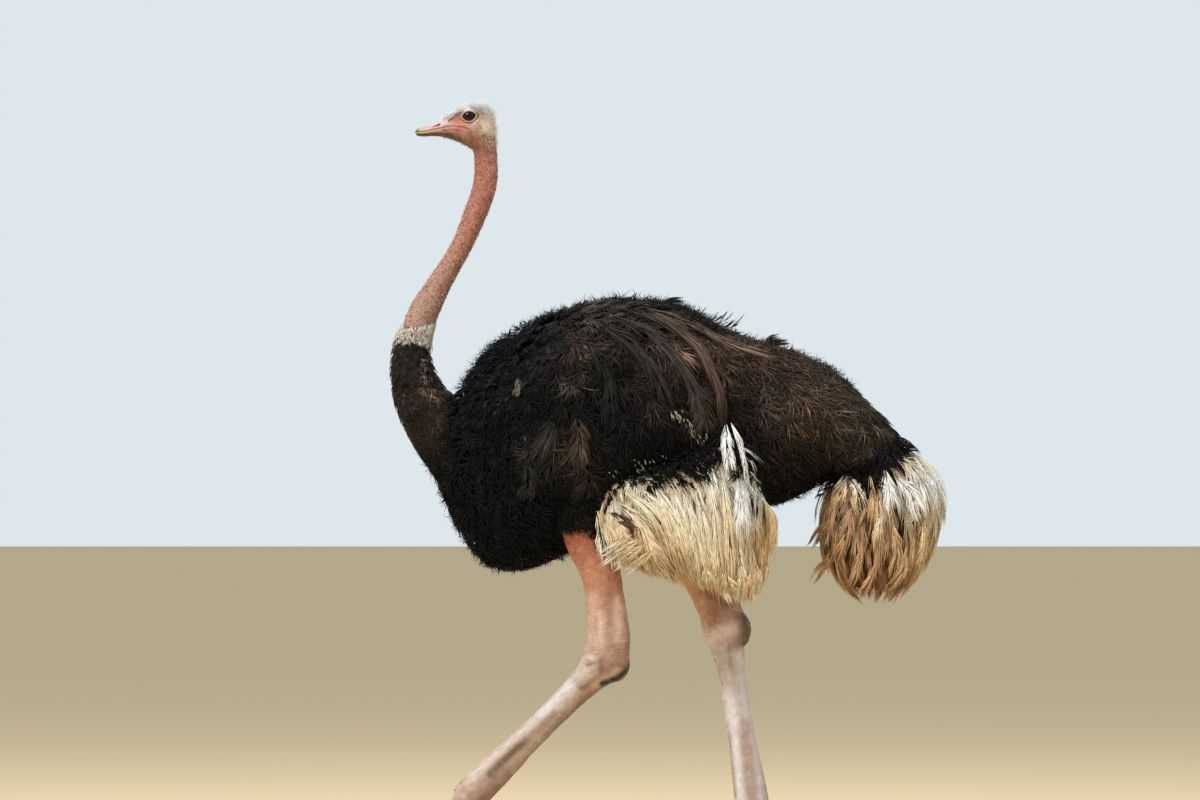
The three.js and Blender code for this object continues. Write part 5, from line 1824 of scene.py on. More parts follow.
# %% Down
def hairs(coat, chosen, count, length, lie, stand, tones, seed, width=0.55, untidy=0.25):
    """Hairs on the skin's own points, by their weights in `chosen`. lie: the way they lean. stand: how far
    they stand up, from 0 for flat to 1 for upright."""
    rng = np.random.default_rng(seed)
    pick = rng.choice(np.flatnonzero(chosen > 0), count, p=chosen[chosen > 0] / chosen[chosen > 0].sum())
    root, out = skin_points[pick], skin_normals[pick]
    start = root + rng.normal(0, 0.8, (count, 3)) * MM
    way = np.tile(lie, (count, 1))
    way = unit(way - out * dot(way, out)) * (1 - stand) + out * stand + rng.normal(0, untidy, (count, 3))
    way = unit(way)
    long = length * MM * rng.uniform(0.6, 1.3, count)[:, None]
    bend = unit(way + np.array([0, 0, -0.35]) * (1 - stand) + rng.normal(0, 0.12, (count, 3)))
    tip = start + way * long * 0.6 + bend * long * 0.4
    points = np.stack([start - out * 1.0 * MM, start + way * long * 0.5, tip], 1)
    tones = np.array([tint(*tone) for tone in tones])[rng.integers(0, len(tones), count)]
    tones = np.repeat((tones * np.exp(rng.normal(0, 0.12, count))[:, None])[:, None], 3, 1)
    widths = width * MM * rng.uniform(0.7, 1.2, count)[:, None] * np.array([0.9, 1.0, 0.1])
    round_it = np.arctan2(root[:, 1], root[:, 0] - skin_middle[pick])
    where = np.stack([round_it / (2 * np.pi) + 0.5, (root[:, 2] - 1.2) / 0.9], 1)
    coat.add(points, np.repeat(out[:, None], 3, 1), widths, tones, np.clip(where, 0.01, 0.99), 0.8)


skin_points, skin_normals = points_of(skin.data), normals_of(skin.data)
face_places = tip_places(skin_points)
neck_part, skin_middle = neck_share(skin_points)
flat = face_places[:, [0, 2]]
on_head = (face_places[:, 0] > 62) & (face_places[:, 2] > -75) & (skin_points[:, 2] > 1.7)
clear = eye_frame(face_places)[2] > 1.9
crown = np.clip(step_up(0.15, 0.6, skin_normals[:, 2]) * step_up(20, 34, face_places[:, 2]), 0, 1) * on_head
ear = bump_at(flat, (182, -13), 16) * (np.abs(skin_normals[:, 1]) > 0.4) * on_head
nape = step_up(166, 188, face_places[:, 0]) * on_head * step_up(-50, -22, face_places[:, 2])
cheek = bump_at(flat, (168, 12), 30) * on_head * clear
chin = step_up(-0.1, -0.5, skin_normals[:, 2]) * on_head * (face_places[:, 2] < 0)
neck_skin = (skin_points[:, 2] > 1.36) & (skin_points[:, 2] < 1.93) & (np.abs(neck_part) < 1.5)
neck_skin = neck_skin & (~on_head | (face_places[:, 2] < -40))
down_coat = Coat()
PALE = [(240, 238, 234), (226, 222, 214), (248, 244, 238)]
brow = np.interp(flat[:, 0], [70, 88, 108, 122, 136, 160, 176, 200], [24, 32, 46, 56, 61, 60, 50, 30])
crown = crown * step_up(-5, 5, flat[:, 1] - brow)
GREYS = [(180, 188, 194), (208, 212, 216), (232, 234, 234)]
TANS = [(240, 230, 208), (230, 212, 186), (200, 164, 136)]
SPECKLES = [(244, 204, 180), (226, 180, 154), (92, 40, 27), (76, 33, 24), (106, 50, 36)]
THROAT = [(190, 188, 184), (120, 84, 66), (150, 112, 92)]
hairs(down_coat, crown * clear, 2900, 9, (0.7, 0, 0.4), 0.5, PALE, 401)
hairs(down_coat, crown * clear, 1100, 17, (0.7, 0, 0.4), 0.85, GREYS, 402, width=0.42)
hairs(down_coat, nape * clear, 1150, 12, (0.5, 0, -0.9), 0.35, TANS, 403)
hairs(down_coat, cheek, 380, 5, (0.7, 0, -0.7), 0.3, [(226, 210, 186), (204, 170, 146)], 404, width=0.5)
hairs(down_coat, ear, 150, 9, (0.8, 0, -0.5), 0.4, [(238, 228, 206), (150, 110, 84)], 405)
hairs(down_coat, chin, 420, 6, (0.8, 0, -0.5), 0.55, THROAT, 406, width=0.45)
hairs(down_coat, neck_skin.astype(float), 4800, 5, (0.1, 0, -1.0), 0.12, SPECKLES, 407, width=0.85)
down_coat.build("coat_down", down, "down")

# %% [markdown]
# ### Tail and wing plumes
# These are the big soft plumes. Each lock is a bundle of long strands that hangs down its form. Under
# the locks lies an inner form, so that the gaps between them are not see-through: dark brown under the
# tail, as painted shade in the gaps, and tan under the wing plumes.


# %% Locks that hang on a form
CORE_NET = (40, 48)  # rings and columns


def core_of(form, edge, inward, colour, first, last):
    """The form under hanging locks, `inward` millimetres inside it, black above the coat's edge."""
    ease = np.sin(np.pi * (np.arange(CORE_NET[0]) + 0.5) / CORE_NET[0]) ** 0.5
    points, faces = form.tube(*CORE_NET, inward * ease, first, last)
    dark = 1 - step_up(0.03, 0.06, under_edge(points, edge))
    return points, faces, laid(colour, dark, tint(16, 16, 15)), edge_strip(*CORE_NET)


def under_edge(points, edge):
    """Metres below the edge of the dark coat, which is a line of X and Z in millimetres."""
    x, z = flank_places(points).T
    line = np.array(edge)
    return (np.interp(x, line[:, 0], line[:, 1]) - z) * MM


def falling(rng, back, wander, aside, count):
    """Directions downwards that lean back by a share, and a little apart from each other."""
    return np.stack([back + rng.normal(0, wander, count), rng.normal(0, aside, count), -np.ones(count)], 1)


def dark_cover(coat, form, edge, rise, seed, spacing=0.0165, colour=(13, 15, 15)):
    """Black tufts rooted on a form above the edge, with tips that end near it."""
    def in_band(p):
        return (under_edge(p, edge) < -0.006) & (under_edge(p, edge) > -rise)

    t, turn, places = roots(form, spacing, in_band, seed)
    rng = np.random.default_rng(seed)
    above = -under_edge(places, edge)
    count = len(t)
    dark = tint(*colour)[None] * np.exp(rng.normal(0, 0.25, count))[:, None]
    way = falling(rng, 0.25, 0.15, 0.1, count)
    coat.add(*tufts(
        form, t, turn, way, strands=7, steps=3,
        length=np.minimum(above + 0.014, 0.085) * rng.uniform(0.7, 1.25, count), width=3.6 * MM, fan=0.4,
        apart=6 * MM, depth=8 * MM, top=rng.uniform(3, 11, count) * MM, plump=5 * MM,
        colour=np.stack([dark, dark * 1.6], 1), where=unwrap(t, turn, 0, 1, 0, 2 * np.pi), seed=seed + 1))


# X and Z in millimetres, share of white (1) to brown (0), direction X, length
TAIL_LOOK = [
    (430, 1000, 0.55, -0.35, 150), (400, 900, 0.42, -0.42, 140), (390, 800, 0.38, -0.30, 120),
    (500, 1040, 0.75, -0.15, 160), (480, 900, 0.46, -0.16, 150), (480, 780, 0.32, -0.10, 130),
    (570, 1060, 0.9, 0.25, 180), (620, 980, 1.0, 0.35, 180), (660, 900, 0.85, 0.18, 170),
    (580, 880, 0.5, 0.06, 160), (680, 820, 0.55, -0.10, 150), (620, 760, 0.3, -0.2, 130),
    (540, 700, 0.15, -0.1, 90), (460, 700, 0.18, -0.05, 80), (640, 700, 0.3, -0.35, 90),
]
TAIL_TONES = np.array([tint(138, 98, 64), tint(204, 160, 116), tint(238, 210, 170), tint(253, 250, 243)])
TAIL_EDGE = [(340, 900), (378, 930), (435, 980), (460, 970), (482, 936), (519, 936), (528, 996), (567, 1000),
             (571, 1032), (610, 1046), (640, 1040), (760, 1000)]


def tone_between(tones, share):
    """A colour between the rows of a list, for shares from 0 to 1."""
    place = np.clip(share, 0, 1) * (len(tones) - 1)
    low = np.minimum(place.astype(int), len(tones) - 2)
    part = (place - low)[:, None]
    return tones[low] * (1 - part) + tones[low + 1] * part


t, turn, places = roots(
    tail_form, 0.0245, lambda p: (p[:, 2] > 0.70) & (under_edge(p, TAIL_EDGE) > -0.03), seed=61)
look = blended(flank_places(places), TAIL_LOOK, 45)
rng = np.random.default_rng(62)
count = len(t)
white = look[:, 0] + rng.normal(0, 0.13, count) + 0.1 * waves(places, 0.06, 63)
way = falling(rng, look[:, 1], 0.08, 0.05, count)
tips = tone_between(TAIL_TONES, white)
root_tone = tone_between(TAIL_TONES, white - 0.25)
tail_coat = Coat()
tail_coat.add(*tufts(
    tail_form, t, turn, way, strands=17, length=look[:, 2] * MM * rng.uniform(0.6, 1.0, count),
    width=2.3 * MM, fan=0.16, apart=10 * MM, depth=24 * MM, top=rng.uniform(-14, 5, count) * MM,
    plump=8 * MM, bend=0.1, frizz=0.04, round_tip=0.35, colour=np.stack([root_tone * 0.8, tips], 1),
    where=unwrap(t, turn, 0, 1, 0, 2 * np.pi), seed=64, tone=0.12, loose=0.8, shaded_root=0.6))
cover = Coat()
dark_cover(cover, tail_form, TAIL_EDGE, 0.09, 65)

# %% Single locks and plumes of the tail
# line of X and Z in millimetres, half width, barbs, run, share of white from root to tip
TAIL_PLUMES = [
    ([(440, 985), (428, 940), (405, 895)], 22, 46, 0.5, (0.75, 0.55, 0.3)),
    ([(446, 985), (470, 940), (482, 885)], 20, 46, 0.5, (0.85, 0.75, 0.45)),
    ([(502, 985), (508, 930), (500, 860)], 13, 34, 0.5, (0.35, 0.4, 0.3)),
    ([(542, 994), (552, 945), (562, 880)], 26, 70, 0.5, (0.95, 1.0, 0.95)),
    ([(574, 976), (612, 935), (632, 868)], 30, 90, 0.45, (0.9, 1.0, 0.9)),
    ([(572, 1032), (620, 1000), (655, 940), (672, 880)], 30, 90, 0.4, (0.6, 0.9, 0.85)),
    ([(612, 1046), (655, 1005), (688, 940), (692, 870)], 24, 70, 0.4, (0.7, 0.95, 0.7)),
    ([(523, 930), (528, 870), (520, 790)], 20, 56, 0.45, (0.4, 0.7, 0.45)),
    ([(452, 900), (440, 830), (415, 760)], 20, 50, 0.45, (0.35, 0.35, 0.25)),
    ([(400, 900), (385, 850), (352, 800)], 16, 40, 0.45, (0.3, 0.3, 0.2)),
    ([(410, 800), (395, 760), (358, 708)], 15, 40, 0.45, (0.2, 0.35, 0.3)),
    ([(560, 850), (575, 780), (560, 705)], 18, 50, 0.45, (0.4, 0.5, 0.35)),
    ([(480, 800), (470, 740), (452, 690)], 15, 42, 0.45, (0.3, 0.4, 0.3)),
    ([(640, 860), (650, 800), (630, 735)], 17, 48, 0.45, (0.5, 0.6, 0.4)),
    ([(520, 760), (505, 710), (480, 665)], 14, 40, 0.45, (0.3, 0.42, 0.3)),
    ([(600, 800), (590, 730), (548, 672)], 16, 44, 0.45, (0.4, 0.45, 0.3)),
]
for number, (line, half, barbs, run, white) in enumerate(TAIL_PLUMES):
    for side in (-1, 1):
        plume(tail_coat, tail_form, line, half, barbs, run, tone_between(TAIL_TONES, np.array(white)),
              66 + number * 2 + side, side, lift=4, plump=6, width=1.9, tone=0.3, ragged=0.3)
# dark brown inner form: painted shade in the gaps between the tail's locks
tail_coat.solids.append(core_of(tail_form, TAIL_EDGE, 30, tint(64, 42, 26), 0.2, 0.8))
tail_coat.build("coat_tail", pale_feathers, "tan_feather", "tail")

# %% Plumes under the wings
# X and Z in millimetres, share of white, direction X, length
PLUME_LOOK = [
    (100, 1110, 0.9, 0.2, 190), (180, 1080, 0.9, 0.2, 200), (0, 980, 0.78, 0.12, 110),
    (-150, 940, 0.72, 0.2, 100), (-60, 940, 0.74, 0.15, 110), (60, 960, 0.8, 0.12, 130),
    (160, 960, 1.0, 0.08, 170), (235, 900, 0.3, 0.12, 150), (-180, 860, 0.5, -0.45, 90),
    (-80, 840, 0.5, 0.25, 120), (40, 820, 0.5, 0.22, 120), (150, 820, 0.6, 0.05, 130),
    (230, 780, 0.26, 0.05, 120), (60, 740, 0.5, 0.1, 80), (160, 720, 0.42, 0.0, 90),
    (-120, 800, 0.5, -0.3, 80), (-60, 760, 0.45, 0.1, 70),
]
PLUME_TONES = np.array([tint(180, 136, 90), tint(232, 198, 150), tint(246, 228, 198), tint(255, 254, 250)])
PLUME_EDGE = [
    (-300, 860), (-232, 870), (-218, 888), (-180, 930), (-164, 952), (-74, 946), (-33, 968), (21, 948),
    (44, 960), (54, 1008), (106, 1018), (132, 985), (196, 975), (215, 925), (300, 915),
]
THIGH_EDGES = {
    "left": [(-400, 850), (-307, 836), (-240, 838), (-225, 812), (-195, 790), (-100, 790)],
    "right": [(-300, 850), (300, 850)],
}
# line of X and Z in millimetres, half width, barbs, run, share of white from root to tip, lift
WING_PLUME_LINES = [
    ([(-170, 910), (-103, 860), (-64, 775), (-29, 728)], 24, 90, 0.4, (0.85, 0.6, 0.45, 0.5), 5),
    ([(-143, 940), (-64, 880), (-11, 784), (8, 725)], 24, 90, 0.4, (0.85, 0.7, 0.42, 0.45), 6),
    ([(-103, 945), (-37, 880), (10, 760)], 24, 90, 0.4, (0.9, 0.62, 0.4), 6),
    ([(-64, 952), (-19, 880), (29, 758)], 24, 90, 0.4, (0.9, 0.66, 0.42), 7),
    ([(-29, 962), (8, 862), (42, 726)], 24, 90, 0.4, (0.85, 0.7, 0.45), 6),
    ([(8, 945), (37, 836), (69, 704)], 24, 90, 0.4, (0.85, 0.66, 0.45), 7),
    ([(42, 955), (66, 836), (88, 684)], 22, 90, 0.4, (0.85, 0.62, 0.42), 6),
    ([(72, 996), (93, 862), (109, 680)], 22, 90, 0.36, (0.9, 0.6, 0.42), 8),
    ([(103, 1008), (127, 862), (135, 680)], 20, 80, 0.36, (0.85, 0.55, 0.4), 6),
    ([(-180, 915), (-156, 838), (-138, 752)], 24, 80, 0.4, (0.8, 0.55, 0.45), 6),
    ([(188, 800), (193, 730), (175, 665)], 14, 50, 0.45, (0.5, 0.4, 0.6), 6),
    ([(120, 1118), (122, 1060), (134, 985)], 19, 84, 0.3, (0.85, 1.0, 1.0, 1.0, 0.95), 12),
    ([(134, 1118), (158, 1065), (172, 1000), (176, 955)], 9, 44, 0.3, (0.9, 1.0, 1.0, 0.95), 12),
    ([(152, 978), (166, 900), (166, 820)], 29, 130, 0.4, (1.0, 1.0, 1.0, 0.8), 14),
    ([(175, 975), (196, 930), (197, 880)], 5, 16, 0.4, (0.9, 0.9, 0.6), 22),
    ([(78, 1012), (88, 950), (84, 890)], 20, 60, 0.45, (0.85, 0.85, 0.6), 6),
    ([(-218, 888), (-205, 820), (-196, 765)], 20, 60, 0.4, (0.5, 0.7, 0.85), 10),
    ([(-214, 888), (-176, 820), (-165, 745)], 24, 70, 0.4, (0.45, 0.5, 0.7), 8),
    ([(-190, 870), (-140, 810), (-118, 752)], 24, 60, 0.4, (0.4, 0.4, 0.55), 5),
    ([(100, 820), (122, 740), (112, 672)], 22, 70, 0.45, (0.4, 0.45, 0.65), 5),
    ([(150, 800), (165, 720), (158, 660)], 20, 60, 0.45, (0.6, 0.5, 0.6), 5),
    ([(40, 830), (55, 770), (40, 722)], 20, 60, 0.45, (0.45, 0.6, 0.85), 4),
    ([(-100, 815), (-150, 785), (-197, 752)], 13, 44, 0.5, (0.4, 0.6, 0.85), 10),
    ([(-90, 800), (-135, 768), (-172, 738)], 13, 44, 0.5, (0.4, 0.55, 0.8), 9),
    ([(-120, 830), (-165, 800), (-208, 772)], 12, 40, 0.5, (0.4, 0.6, 0.9), 11),
    ([(-60, 790), (-105, 755), (-140, 728)], 13, 44, 0.5, (0.35, 0.5, 0.75), 8),
    ([(160, 1056), (186, 1040), (212, 1016)], 5, 8, 0.5, (1.0, 1.0, 0.8), 16),
    ([(168, 1034), (190, 1014), (200, 984)], 5, 7, 0.5, (1.0, 1.0, 0.8), 16),
    ([(178, 996), (200, 972), (214, 948)], 5, 7, 0.5, (1.0, 0.95, 0.7), 18),
    ([(120, 720), (132, 680), (142, 652)], 26, 70, 0.5, (0.4, 0.5, 0.7), 10),
    ([(165, 730), (182, 690), (182, 652)], 22, 60, 0.5, (0.35, 0.4, 0.55), 8),
    ([(60, 740), (78, 712), (86, 690)], 22, 56, 0.5, (0.4, 0.6, 0.8), 8),
    ([(224, 912), (244, 870), (242, 800)], 15, 60, 0.5, (0.35, 0.3, 0.25), 9),
    ([(226, 870), (250, 835), (244, 785)], 12, 50, 0.55, (0.3, 0.35, 0.3), 8),
    ([(212, 800), (226, 740), (208, 690)], 15, 50, 0.5, (0.25, 0.3, 0.4), 8),
    ([(195, 760), (206, 710), (190, 655)], 15, 50, 0.55, (0.35, 0.45, 0.7), 8),
]
# dark plumes laid where the locks part: painted shade in the gaps between them
PLUME_GAP_SHADE = [
    ([(-188, 886), (-160, 872), (-122, 856)], 7, 34, 0.3, (64, 46, 34), 9),
    ([(-170, 866), (-140, 850), (-112, 842)], 6, 24, 0.3, (84, 62, 44), 9),
    ([(131, 996), (146, 980), (130, 962)], 9, 26, 0.5, (30, 26, 22), 24),
    ([(182, 940), (196, 900), (198, 872)], 9, 30, 0.5, (22, 20, 18), 18),
]
for name, form in plume_forms.items():
    side = -1 if name == "left" else 1
    t, turn, places = roots(
        form, 0.0225, lambda p: (p[:, 2] > 0.71) & (under_edge(p, PLUME_EDGE) > -0.045), seed=71)
    look = blended(flank_places(places), PLUME_LOOK, 40)
    rng = np.random.default_rng(72 if name == "left" else 73)
    count = len(t)
    white = look[:, 0] + rng.normal(0, 0.06, count) + 0.08 * waves(places, 0.08, 75)
    way = falling(rng, look[:, 1], 0.06, 0.05, count)
    tips = tone_between(PLUME_TONES, white)
    coat = Coat()
    coat.add(*tufts(
        form, t, turn, way, strands=14, length=look[:, 2] * MM * rng.uniform(0.6, 1.2, count), width=2.3 * MM,
        fan=0.14, apart=13 * MM, depth=12 * MM, top=rng.uniform(-4, 3, count) * MM, plump=2 * MM,
        bend=0.08, frizz=0.035, round_tip=0.35,
        colour=np.stack([tone_between(PLUME_TONES, white - 0.12), tips], 1),
        where=unwrap(t, turn, 0, 1, 0, 2 * np.pi), seed=74, tone=0.1, shaded_root=0.8, loose=1.0))
    dark_cover(cover, form, PLUME_EDGE, 0.11, 76)
    for number, (line, half, barbs, run, share, lift) in enumerate(WING_PLUME_LINES):
        width, ragged = (2.0, 0.25) if half > 5 else (0.8, 0.6)
        plume(coat, (form, body_form), line, half, barbs, run, tone_between(PLUME_TONES, np.array(share)),
              80 + number, side, lift=lift, plump=4, width=width, tone=0.22, ragged=ragged)
    for number, (line, half, barbs, run, screen, lift) in enumerate(PLUME_GAP_SHADE):
        plume(cover, (form, body_form), line, half, barbs, run, tint(*screen) * np.ones((2, 1)),
              140 + number, side, lift=lift, plump=3, width=2.0, tone=0.3)
    coat.solids.append(core_of(form, PLUME_EDGE, 24, tint(176, 138, 96), 0.3, 0.84))
    coat.build(f"coat_plumes_{name}", pale_feathers, "white_feather", f"plumes_{name}")
for name, edge in THIGH_EDGES.items():
    thigh = Form(limb_rows(STRIDE[name]["hock"], STRIDE[name]["top"], THIGH))
    dark_cover(cover, thigh, edge, 0.11, 150, spacing=0.0115)
cover.build("coat_cover", black_feathers, "black_feather")

# %% [markdown]
# ## Bill, eyes and claws
# The bill's two halves are horn, flat and broad. Each half is its own closed form that ends in a lip
# along the line of the mouth. The upper half carries a nostril slit on each side.

# %% The bill
MOUTH = [(0, -1), (30, 1), (60, 7), (88, 12)]  # behind the tip, height
# behind the tip, top, bottom, half width
BILL = [
    (0, -1, -1, 0), (6, 7, -9, 12), (22, 14, -12, 18), (44, 20, -11, 22), (66, 28, -12, 26),
    (88, 41, -16, 29),
]
BILL_RINGS, BILL_COLUMNS = 90, 40


def mouth_at(behind):
    """Height of the line of the mouth, at distances behind the tip."""
    return np.interp(behind, *zip(*MOUTH))


def nostril_frame(places):
    """The way along and across the nostril's slit from its middle, in millimetres."""
    along = places[..., 0] - 57
    return along, places[..., 2] - 15.2 - along * 0.34


def bill_half(upper):
    """The upper or the lower half of the bill as a closed form."""
    t = np.linspace(0, 1, BILL_RINGS) ** 1.4
    rows = [(behind, top, low, aside * aside) for behind, top, low, aside in BILL]
    behind, top, low, square = between(rows, t).T
    aside = np.sqrt(np.maximum(square, 0))
    mouth = mouth_at(behind)
    turn = np.linspace(0, np.pi, BILL_COLUMNS // 2 + 1)
    reach = (top - mouth) if upper else (mouth - low)
    reach = np.maximum(reach, 0.2) * (1 if upper else -1)
    rise = np.sin(turn) ** (2 / 2.3)
    wide = squarer(np.cos(turn), 2.3)
    arch = np.stack([np.tile(behind[:, None], (1, len(turn))), aside[:, None] * wide[None],
                     mouth[:, None] + reach[:, None] * rise[None]], -1)
    inner = np.linspace(1, -1, BILL_COLUMNS // 2 + 1)[1:-1]
    hollow = (1.2 if upper else -1.2) * (1 - inner[None] ** 2) * step_up(0, 20, behind)[:, None]
    palate = np.stack([np.tile(behind[:, None], (1, len(inner))), -aside[:, None] * inner[None] * 0.96,
                       mouth[:, None] + hollow], -1)
    body = np.concatenate([arch, palate], 1)
    if upper:
        u, w = nostril_frame(body)
        for side in (-1, 1):
            beside = body[..., 1] * side > 4
            hole = np.exp(-(((u + 2) / 8) ** 4) - (w / 1.8) ** 2) * 3
            hole = hole + np.exp(-(((u - 6.5) / 4.2) ** 2) - (w / 3.0) ** 2) * 5
            body[..., 1] -= side * hole * beside
            rim = np.exp(-((u / 12) ** 4) - ((w - 4.6) / 2.4) ** 2) * beside
            body[..., 1] += side * 0.9 * rim
        ridge = bell(body[..., 2] - mouth[:, None] - 3.0, 1.6) * (np.abs(body[..., 1]) > 5)
        body[..., 1] += np.sign(body[..., 1]) * 0.7 * ridge
    nail = (1 - step_up(10, 16, behind)) * step_up(0, 5, behind)
    off_lip = np.abs(body[..., 2] - mouth[:, None]) > 1
    body[..., 2] += (0.9 if upper else -0.4) * nail[:, None] * off_lip
    points = (body + np.array([TIP_X + SHIFT, 0, TIP_Z])) * MM
    return piece_of("bill_horn_upper" if upper else "bill_horn_lower",
                    *closed_tube(points, points[0].mean(0), points[-1].mean(0)))


# behind the tip, above it, colour; the dark rows low on the lower half are painted shade on its underside
BILL_TONES = tinted([
    (2, 3, 118, 100, 58), (8, 6, 142, 128, 90), (20, 10, 178, 164, 146), (34, 14, 194, 172, 164),
    (50, 20, 210, 186, 182), (70, 26, 216, 186, 182), (86, 36, 208, 176, 168), (16, 2, 214, 186, 150),
    (30, 0.5, 224, 184, 160), (45, 3, 216, 168, 148), (60, 4, 210, 158, 136), (84, 6, 204, 142, 126),
    (84, 13, 216, 160, 152), (66, 14, 214, 178, 172), (60, -1, 196, 128, 104), (84, 0, 192, 124, 104),
    (10, -6, 62, 40, 26), (30, -6, 102, 62, 44), (45, -6, 104, 58, 40), (60, -7, 100, 54, 36),
    (84, -8, 96, 52, 34), (30, -11, 74, 46, 32), (60, -12, 84, 46, 30), (84, -15, 104, 60, 42),
])

for upper in (True, False):
    half = bill_half(upper)
    points = points_of(half.data)
    places = tip_places(points)
    colour = blended(places[:, [0, 2]], BILL_TONES, 4.5) * SKIN_DEPTH
    mouth = mouth_at(places[:, 0])
    lip = bell(places[:, 2] - mouth, 1.0) * (0.85 - 0.5 * step_up(50, 84, places[:, 0]))
    colour = laid(colour, lip, tint(70, 52, 28))
    if upper:
        u, w = nostril_frame(places)
        beside = np.abs(places[:, 1]) > 4
        rim = np.exp(-((u / 13) ** 4) - ((w + 1) / 3.6) ** 2) * beside * 0.7
        colour = laid(colour, rim, tint(206, 128, 120) * SKIN_DEPTH)
        # painted shade: near black in the nostril's slit and hole
        slit = np.exp(-(((u + 3) / 8) ** 4) - (w / 1.3) ** 2)
        hole = np.exp(-(((u - 6.5) / 4.2) ** 2) - ((w - 0.4) / 3.0) ** 2) * 1.3
        colour = laid(colour, np.clip(slit + hole, 0, 1) * beside, tint(20, 12, 10))
    else:
        under = mouth - places[:, 2]
        start = np.interp(places[:, 0], [0, 30, 60, 88], [4, 5, 8.5, 16])
        colour = laid(colour, bell(under, 1.3, 2.6) * 0.75, tint(240, 210, 180) * SKIN_DEPTH)
        # painted shade: the underside of the lower half darker
        colour = laid(colour, step_up(start, start + 4, under) * 0.85, tint(78, 42, 30) * SKIN_DEPTH)
    colour_layer(half.data, "markings_and_shading", colour)
    finished(half, "horn", "bill_upper" if upper else "bill_lower", material=bill_horn)
print("bill: two halves")

# %% [markdown]
# The eye is a dark ball under a wet, clear front. Iris and pupil are drawn by the distance from the
# axis of the eye, so they hold from every side. The gloss comes from a low roughness on the shader.

# %% The eyes
# share of the ball's radius, and the colour there: pupil, iris and the dark rim
IRIS = [(0.0, (3, 3, 4)), (0.36, (4, 4, 5)), (0.40, (30, 18, 12)), (0.6, (38, 24, 16)), (0.7, (12, 9, 8)),
        (1.0, (30, 20, 17))]
CORNEA = 0.9  # millimetres that the clear front stands out
for name, leg in STRIDE.items():
    side = leg["side"]
    centre = np.array([TIP_X + SHIFT + EYE_BEHIND, side * EYE_ASIDE, TIP_Z + EYE_ABOVE])
    ball = bmesh.new()
    bmesh.ops.create_uvsphere(ball, u_segments=64, v_segments=40, radius=EYE_RADIUS * MM)
    mesh = bpy.data.meshes.new(f"eyeball_{name}")
    ball.to_mesh(mesh)
    ball.free()
    mesh.shade_smooth()
    eye = linked(f"eyeball_{name}", mesh)
    points = points_of(mesh)
    points = np.stack([points[:, 0], points[:, 2] * side, points[:, 1]], 1)
    front = np.clip(points[:, 1] * side / (EYE_RADIUS * MM), 0, 1)
    points[:, 1] += side * CORNEA * MM * step_up(0.62, 0.95, front)
    set_points(mesh, points + centre * MM)
    edited(mesh, lambda work: bmesh.ops.recalc_face_normals(work, faces=work.faces))
    material, tree, shader, place = new_material(f"eye {name}", 0.3)
    shader.inputs["Roughness"].default_value = 0.06
    offset = node(tree, "Mapping", [("Vector", place), ("Location", tuple(-centre * MM))]).outputs[0]
    parts = node(tree, "SeparateXYZ", [("Vector", offset)]).outputs
    radius = maths(tree, "SQRT", maths(tree, "ADD", maths(tree, "MULTIPLY", parts[0], parts[0]),
                                       maths(tree, "MULTIPLY", parts[2], parts[2])))
    ramp = node(tree, "ValToRGB", [(0, maths(tree, "MULTIPLY", radius, 1 / (EYE_RADIUS * MM)))])
    stops = ramp.color_ramp.elements
    for place_on, colour in IRIS:
        stop = stops.new(place_on) if place_on not in (0.0, 1.0) else stops[0 if place_on == 0.0 else -1]
        stop.color = (*tint(*colour), 1)
    stretched = node(tree, "Mapping", [("Vector", offset), ("Scale", (1, 0.2, 1))]).outputs[0]
    fibres = grey(tree, noise(tree, stretched, 900.0))
    tree.links.new(mixed(tree, 0.35, ramp.outputs[0], fibres, "MULTIPLY"), shader.inputs["Base Color"])
    finished(eye, "eye", f"eye_{name}", material=material)
print("eyes: two balls")

# %% The claws
for name, leg in STRIDE.items():
    form = Form(toe_rows(leg, CLAW), square=2.1)
    points, faces = form.tube(44, 28)
    points[:, 2] = np.maximum(points[:, 2], 0.0)
    claw = piece_of(f"toenail_{name}", points, faces)
    points = points_of(claw.data)
    share = step_up(points[:, 0].min(), points[:, 0].max(), points[:, 0])
    colour_layer(claw.data, "markings_and_shading", laid(tint(60, 48, 42), share, tint(112, 92, 80)))
    finished(claw, "claw", f"claw_{name}", material=claw_horn)
print("claws: two")

# %% [markdown]
# ### Scutes and lashes
# Horny plates cover the front of the shanks and the tops of the toes, and stiff lashes edge the upper
# lids. Both are small shapes set on points by one kind of Geometry Nodes group, which sizes and turns
# them and ends in real mesh.

